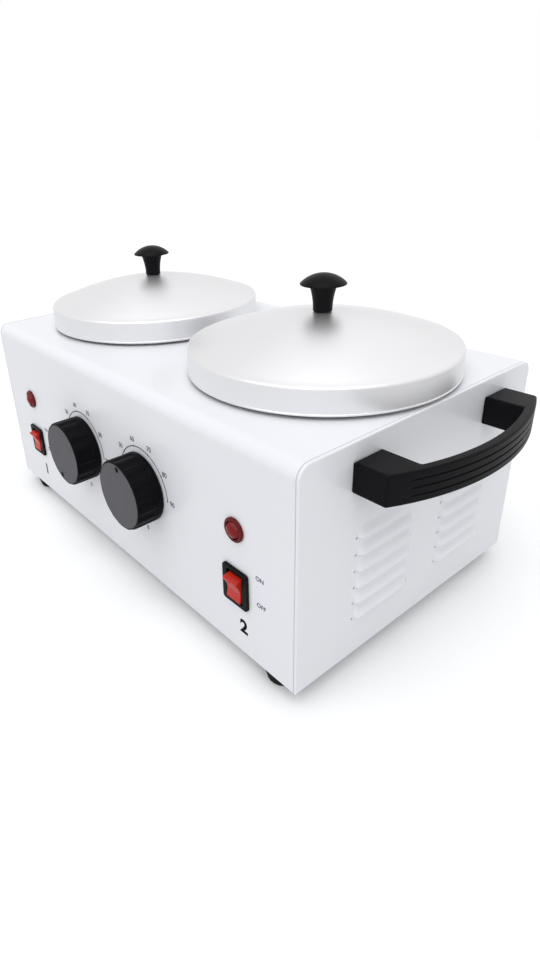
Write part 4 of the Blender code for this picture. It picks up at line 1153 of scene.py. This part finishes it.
for side in SIDES:
    spot = middle(side + "_dial", y=front_y)
    turn = FRONT @ Matrix.Rotation(-dial_turns[side], 4, "Z")
    add_piece(side + "_dial_moulding", make_dial(), ("dial_plastic", "dial_face_grey"), side + "_dial", spot,
              turn, side + "_dial_and_spindle")
print("dial radius and reach in mm:", round(dial_radius / MM, 1), round(dial_front / MM, 1))

# %% [markdown]
# A small black dot on the face marks where the dial points. It is a very thin black disc with almost no
# gloss.

# %% Make the pointer dots
dot_radius = 1.9 * MM
dot_out = 19.8 * MM
dot_steps = 40
for side in SIDES:
    spot = middle(side + "_dial", y=front_y - dial_front)
    angle = -math.pi / 2 - dial_turns[side]
    spot += Vector((math.cos(angle), 0, math.sin(angle))) * dot_out
    dot = turned([(0, -dot_height, 0), (dot_radius, -dot_height, 0),
                  (dot_radius, dot_height, dot_height / 2), (0, dot_height, 0)], dot_steps)
    add_piece(side + "_dial_dot", dot, "print_ink", None, spot, FRONT, side + "_dial_and_spindle")
print("dots:", len(SIDES))

# %% [markdown]
# ## The lamps
# A pilot lamp is a snap-in body with a round lip and a low lens cut in flats, which sparkle when the
# lamp is lit. The flats are kept as real flats. The lip is a darker copy of the red, which paints in the
# shade that falls in and round the lip.

# %% Make the lamps
lamp_low, lamp_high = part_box("right_lamp")
lip_draw = 0.5 * MM
lamp_radius = (lamp_high.x - lamp_low.x) / 2 - lip_draw
lamp_back = front_y - lamp_high.y
lamp_front = front_y - lamp_low.y
control_gap = 0.3 * MM
lip_top = 1.9 * MM
lip_corners = (0, 0.5, 0, 0.1, 0.9, 0.3, 0, 0)
lens_radius = 5.2 * MM
lens_sunk = 1.1 * MM
lens_room = 0.3 * MM
lens_flare = 0.5 * MM
lens_seat = 0.05 * MM
lens_sides = 12
lens_shares = ((1, 0.2), (0.80, 0.62), (0.48, 0.9), (0.14, 1))
flat_angle = math.radians(4)
lip_floor = lip_top - lens_sunk
lens_low = lip_floor + lens_seat
lip_points = [(0, lamp_back), (lamp_body_radius, lamp_back), (lamp_body_radius, control_gap),
              (lamp_radius, control_gap), (lamp_radius, lip_top), (lens_radius + lens_flare, lip_top),
              (lens_radius + lens_room, lip_floor), (0, lip_floor)]
lens = [(0, lens_low, 0), (lens_radius, lens_low, 0)]
lens += [(lens_radius * out, lens_low + (lamp_front - lens_low) * rise, 0) for out, rise in lens_shares]
lens.append((0, lamp_front, 0))
for side in SIDES:
    spot = middle(side + "_lamp", y=front_y)
    # The lip takes the darker red of painted shade.
    add_piece(side + "_lamp_body", turned(cornered(lip_points, lip_corners), round_steps), "dark_red_plastic",
              side + "_lamp", spot, FRONT)
    add_piece(side + "_lamp_lens", turned(lens, lens_sides), "red_lens", None, spot, FRONT, angle=flat_angle)
print("lamp radius in mm:", round(lamp_radius / MM, 1))

# %% [markdown]
# ## The switches
# The switch housing is one black moulding: a body behind the sheet, a bezel with rounded corners in
# front of it, and a well for the rocker. It is a single skin that runs from the body's back, out under
# the bezel, over its edge and down into the well.

# %% Make the switch housings
housing_low, housing_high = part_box("right_switch_housing")
bezel_width = housing_high.x - housing_low.x
bezel_height = housing_high.z - housing_low.z
bezel_corner = 2.2 * MM
bezel_top = 2.1 * MM
bezel_edge = 0.5 * MM
bezel_steps = 4
switch_back = front_y - housing_high.y
switch_corner = 0.6 * MM
switch_break = 0.4 * MM
rocker_well = (13 * MM, 20.3 * MM)
well_corner = 0.5 * MM
well_break = 0.3 * MM
well_floor = -10 * MM
pin_radius = 1.2 * MM
pin_ease = 0.3 * MM
socket_end = 7.8 * MM
pin_steps = 24
pivot_depth = 1 * MM


def make_switch_housing():
    """The housing as slices, from the back of its body to the floor of the rocker's well."""
    body = rounded_box(*switch_body, switch_corner)
    bezel = rounded_box(bezel_width, bezel_height, bezel_corner)
    opening = rounded_box(*rocker_well, well_corner)
    slices = [(inset(body, switch_break), switch_back), (body, switch_back + switch_break)]
    slices += [(body, control_gap), (bezel, control_gap)]
    slices += [(inset(bezel, draw), bezel_top - drop) for drop, draw in quarter(bezel_edge, bezel_steps)]
    slices += [(inset(opening, -well_break), bezel_top), (opening, bezel_top - well_break)]
    slices.append((opening, well_floor))
    bm = skin([at_height(outline, height) for outline, height in slices], caps=(0, -1))
    sockets = rod(pin_radius + pin_ease, -socket_end, socket_end, pin_steps)
    return cut_out(bm, [moved(sockets, (0, 0, -pivot_depth), SIDEWAYS)])


for side in SIDES:
    spot = middle(side + "_switch_housing", y=front_y)
    housing = make_switch_housing()
    add_piece(side + "_switch_bezel", housing, "black_plastic", side + "_switch_housing", spot, FRONT)
print("bezel in mm:", round(bezel_width / MM, 1), round(bezel_height / MM, 1))

# %% [markdown]
# The rocker is a red block with a shallow valley across its face, so that a fingertip finds the raised
# end. It turns on two pins. At rest its top stands out, which is the OFF side pressed in.

# %% Make the rockers
rocker_half = 7.9 * MM
rocker_reach = 6 * MM
rocker_valley = 3.4 * MM
rocker_back = 3 * MM
rocker_width = 11.4 * MM
rocker_edge = 0.45 * MM
rocker_corners = (0.7, 9, 0.7, 0.6, 0.6, 0.6, 0.6)
rocker_points = [(-rocker_half, rocker_reach), (0, rocker_valley), (rocker_half, rocker_reach),
                 (rocker_half, 0), (rocker_half / 2, -rocker_back), (-rocker_half / 2, -rocker_back),
                 (-rocker_half, 0)]
rocker_tilt = math.radians(11)
pin_end = 7.5 * MM
pin_corners = (0, 0.2, 0.2, 0)
pin_points = [(0, -pin_end), (pin_radius, -pin_end), (pin_radius, pin_end), (0, pin_end)]


def make_rocker():
    """The rocker as slices across its width, with soft edges, and its two pins."""
    outline = rounded(cornered(rocker_points, rocker_corners)[::-1])
    slices = soft_slices(outline, -rocker_width / 2, rocker_width / 2, rocker_edge)
    pins = turned(cornered(pin_points, pin_corners), pin_steps)
    across = Matrix(((0, 0, 1, 0), (1, 0, 0, 0), (0, 1, 0, 0), (0, 0, 0, 1)))
    return moved(joined([skin(slices, caps=(0, -1)), pins]), (0, 0, 0), across)


for side in SIDES:
    spot = middle(side + "_switch_housing", y=front_y + pivot_depth)
    turn = Matrix.Rotation(math.pi / 2 + rocker_tilt, 4, "X")
    add_piece(side + "_rocker", make_rocker(), "red_plastic", side + "_switch_rocker", spot, turn,
              side + "_rocker")
print("rocker width in mm:", rocker_width / MM)

# %% [markdown]
# ## The handles
# A bowed bar between two square ends, in one black moulding. Its outer face has three grooves for
# grip. Seen from above the handle is one outline, so it is built of level slices: the outer ones are
# drawn in for the rounded edges, and those at a groove have only their bowed side pushed in.

# %% Shape the handles
handle_low, handle_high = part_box("right_handle")
handle_half = (handle_high.y - handle_low.y) / 2
handle_reach = handle_high.x - side_x
handle_height = handle_high.z - handle_low.z
handle_pad = 22 * MM
handle_end_reach = 20.4 * MM
handle_gap = 0.3 * MM
grip_thickness = 5.7 * MM
grip_corner = 1 * MM
handle_edge = 1.3 * MM
handle_corner = 2.2 * MM
handle_bore_depth = 11.3 * MM
groove_spacing = 4.4 * MM
groove_width = 1.3 * MM
groove_depth = 0.7 * MM
groove_margin = 10 * MM
groove_fade = 3 * MM
groove_shares = ((-0.5, 0), (-0.3, 0.9), (-0.15, 1), (0.15, 1), (0.3, 0.9), (0.5, 0))
bow_steps = 40
bow_tolerance = 0.05 * MM
bow_rise = handle_reach - handle_end_reach
bow_radius = arc_radius(handle_half, bow_rise)
bow_middle = handle_reach - bow_radius


def bow(radius, half, corner):
    """Points along the bow from its right end to its left end, which it reaches at half its length."""
    angle = math.asin(half / radius)
    angles = [math.pi / 2 - angle + 2 * angle * step / bow_steps for step in range(bow_steps + 1)]
    corners = [corner] + [0] * (bow_steps - 1) + [corner]
    return [(radius * math.cos(a), bow_middle + radius * math.sin(a), c) for a, c in zip(angles, corners)]


def handle_outline():
    """The handle from above: round the outside of the bow and back along its inside."""
    pad = handle_half - handle_pad
    outside = bow(bow_radius, handle_half, handle_corner)
    inside = bow(bow_radius - grip_thickness, pad, grip_corner)[::-1]
    left_foot = [(-handle_half, handle_gap, 0), (-pad, handle_gap, 0)]
    right_foot = [(pad, handle_gap, 0), (handle_half, handle_gap, 0)]
    return rounded(outside + left_foot + inside + right_foot)


def groove_amounts(outline, depth):
    """How far each point goes in at a groove: only along the bowed face, fading out at its ends."""
    center = Vector((0, bow_middle))
    amounts = []
    for point in outline:
        on_bow = abs((point - center).length - bow_radius) < bow_tolerance
        from_end = (handle_half - groove_margin - abs(point.x)) / groove_fade
        amounts.append(depth * max(0, min(1, from_end)) if on_bow else 0.0)
    return amounts


def make_handle():
    """The handle's slices from below to above."""
    outline = handle_outline()
    slices = soft_slices(outline, -handle_height / 2, handle_height / 2, handle_edge)
    grooves = []
    for number in (-1, 0, 1):
        for offset, share in groove_shares:
            amounts = groove_amounts(outline, groove_depth * share)
            place = number * groove_spacing + offset * groove_width
            grooves.append(at_height(inset(outline, amounts), place))
    count = len(slices) // 2
    bm = skin(slices[:count] + grooves + slices[count:], caps=(0, -1))
    bmesh.ops.triangulate(bm, faces=[face for face in bm.faces if len(face.verts) > 4])
    return bm


for side, sign in SIDES.items():
    spot = middle(side + "_handle", x=sign * side_x)
    bores = [moved(rod(handle_screw_radius, high=handle_bore_depth),
                   (place * (2 * handle_half - handle_pad) / 2, 0, 0), BACK) for place in (-1, 1)]
    turn = Matrix.Rotation(-sign * math.pi / 2, 4, "Z")
    handle = cut_out(make_handle(), bores)
    add_piece(side + "_bow_handle", handle, "black_plastic", side + "_handle", spot, turn)
print("handle length and reach in mm:", round(2 * handle_half / MM, 1), round(handle_reach / MM, 1))

# %% [markdown]
# ## Print on the front
# Round each dial runs a thin scale with plain numbers, and beside each switch stand ON and OFF. The
# letters come from Blender's own font, turned into thin solids that lie on the paint, so that the
# export keeps them. Each half has a bold number under its switch.

# %% Define the print
print_height = 0.06 * MM
unit_thickness = 0.5


def lettering(words, height, spot, weight=0.0):
    """Words as a thin solid of a given letter height, centred on a spot of the front."""
    curve = bpy.data.curves.new("words", "FONT")
    curve.body = words
    curve.offset = weight
    curve.extrude = unit_thickness
    helper = new_object("words", curve)
    bm = evaluated(helper)
    bpy.data.objects.remove(helper, do_unlink=True)
    bpy.data.curves.remove(curve)
    lows = [min(vert.co[axis] for vert in bm.verts) for axis in (0, 1)]
    highs = [max(vert.co[axis] for vert in bm.verts) for axis in (0, 1)]
    scale = height / (highs[1] - lows[1])
    bmesh.ops.translate(bm, vec=(-(lows[0] + highs[0]) / 2, -(lows[1] + highs[1]) / 2, 0), verts=bm.verts)
    bmesh.ops.scale(bm, vec=(scale, scale, print_height), verts=bm.verts)
    return moved(bm, (spot[0], spot[1], print_height / 2))


def stroke(points, width):
    """A thin printed line through points of the front."""
    rings = []
    for index, point in enumerate(points):
        before = points[max(index - 1, 0)]
        after = points[min(index + 1, len(points) - 1)]
        along = (after - before).normalized()
        side = Vector((-along.y, along.x)) * width / 2
        low, high = point - side, point + side
        rings.append([(low.x, low.y, 0), (high.x, high.y, 0),
                      (high.x, high.y, print_height), (low.x, low.y, print_height)])
    return skin(rings, caps=(0, -1))


# %% [markdown]
# The scale runs clockwise from nought at the bottom. Its numbers stand 35 degrees apart from 30 to 90,
# as the thermostat's travel goes, and a dot on the line marks each.

# %% Print the scales and the words
print_gap = 0.01 * MM
scale_radius = 27.6 * MM
scale_first = 60
scale_step = 35
scale_numbers = (30, 40, 50, 60, 70, 80, 90)
line_width = 0.7 * MM
line_steps = 80
tick_radius = 0.65 * MM
tick_steps = 16
number_radius = 32.6 * MM
number_height = 3.6 * MM
number_weight = 0.012
word_places = {"ON": (19.3 * MM, 15.2 * MM), "OFF": (20.4 * MM, -2.6 * MM)}
word_height = 3.0 * MM
word_weight = 0.015
half_numbers = {"left": "1", "right": "2"}
half_number_place = (5 * MM, -27 * MM)
half_number_height = 10 * MM
half_number_weight = 0.035


def on_scale(turn_degrees, radius):
    """The place on the front at a dial turn from the bottom, clockwise, round the dial's middle."""
    angle = math.radians(-90 - turn_degrees)
    return Vector((math.cos(angle), math.sin(angle))) * radius


def make_scale():
    """The line, its dots and its numbers."""
    sweep = scale_step * (len(scale_numbers) - 1)
    turns = [scale_first + sweep * step / line_steps for step in range(line_steps + 1)]
    parts = [stroke([on_scale(turn, scale_radius) for turn in turns], line_width)]
    parts.append(lettering("0", number_height, on_scale(0, number_radius), number_weight))
    for index, number in enumerate(scale_numbers):
        turn = scale_first + scale_step * index
        parts.append(lettering(str(number), number_height, on_scale(turn, number_radius), number_weight))
        tick = rod(tick_radius, 0, print_height, tick_steps)
        parts.append(moved(tick, (*on_scale(turn, scale_radius), 0)))
    return joined(parts)


for side in SIDES:
    dial_spot = middle(side + "_dial", y=front_y - print_gap)
    add_piece(side + "_dial_scale", make_scale(), "scale_ink", None, dial_spot, FRONT)
    switch_spot = middle(side + "_switch_housing", y=front_y - print_gap)
    words = joined([lettering(word, word_height, place, word_weight) for word, place in word_places.items()])
    add_piece(side + "_switch_words", words, "scale_ink", None, switch_spot, FRONT)
    digit = lettering(half_numbers[side], half_number_height, half_number_place, half_number_weight)
    add_piece(side + "_half_number", digit, "print_ink", None, switch_spot, FRONT)
print("numbers on each scale:", len(scale_numbers) + 1)

# %% [markdown]
# ## Finishes of the pieces inside
# The heaters, thermostats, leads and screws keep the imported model's shapes, which are right as they
# are. Each takes the finish of its slot. A small Geometry Nodes setup joins the imported faces and
# shades them smooth where they meet at a shallow angle, without changing the mesh itself.

# %% Finish the inner pieces
weld_distance = 0.002 * MM


def make_clean_shading():
    """A geometry setup that welds split points and smooths all edges but the sharp ones."""
    group = bpy.data.node_groups.new("clean_shading", "GeometryNodeTree")
    for in_out in ("INPUT", "OUTPUT"):
        group.interface.new_socket("Geometry", in_out=in_out, socket_type="NodeSocketGeometry")
    start = group.nodes.new("NodeGroupInput").outputs[0]
    angle = group.nodes.new("GeometryNodeInputMeshEdgeAngle").outputs["Unsigned Angle"]
    weld = group.nodes.new("GeometryNodeMergeByDistance")
    feed(group, weld, {"Geometry": start, "Distance": weld_distance})
    sharp = feed(group, group.nodes.new("FunctionNodeCompare"), {0: angle, 1: smooth_angle})
    normal = feed(group, group.nodes.new("GeometryNodeSetMeshNormal"), {
        "Mesh": weld.outputs[0], "Remove Custom": True, "Edge Sharpness": sharp.outputs[0]})
    feed(group, group.nodes.new("NodeGroupOutput"), {0: normal.outputs[0]})
    return group


clean_shading = make_clean_shading()
slot_of = {row["node"]: row["material_slot"] for row in frame["record"]["subparts"]}
for name, node in frame["nodes"].items():
    node.data.materials.clear()
    node.data.materials.append(finishes[slot_of[name]])
    shading = node.modifiers.new("clean_shading", "NODES")
    shading.node_group = clean_shading
print("nodes that show as packed:", sum(not node.hide_render for node in frame["nodes"].values()))

# %% [markdown]
# ## Sizes
# The dressed model has to stay inside the imported one.

# %% Print the sizes
visual_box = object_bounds()
for label, box in (("packed", cad_box), ("dressed", visual_box)):
    print(label, "box in mm:", [[round(value / MM, 2) for value in corner] for corner in box])
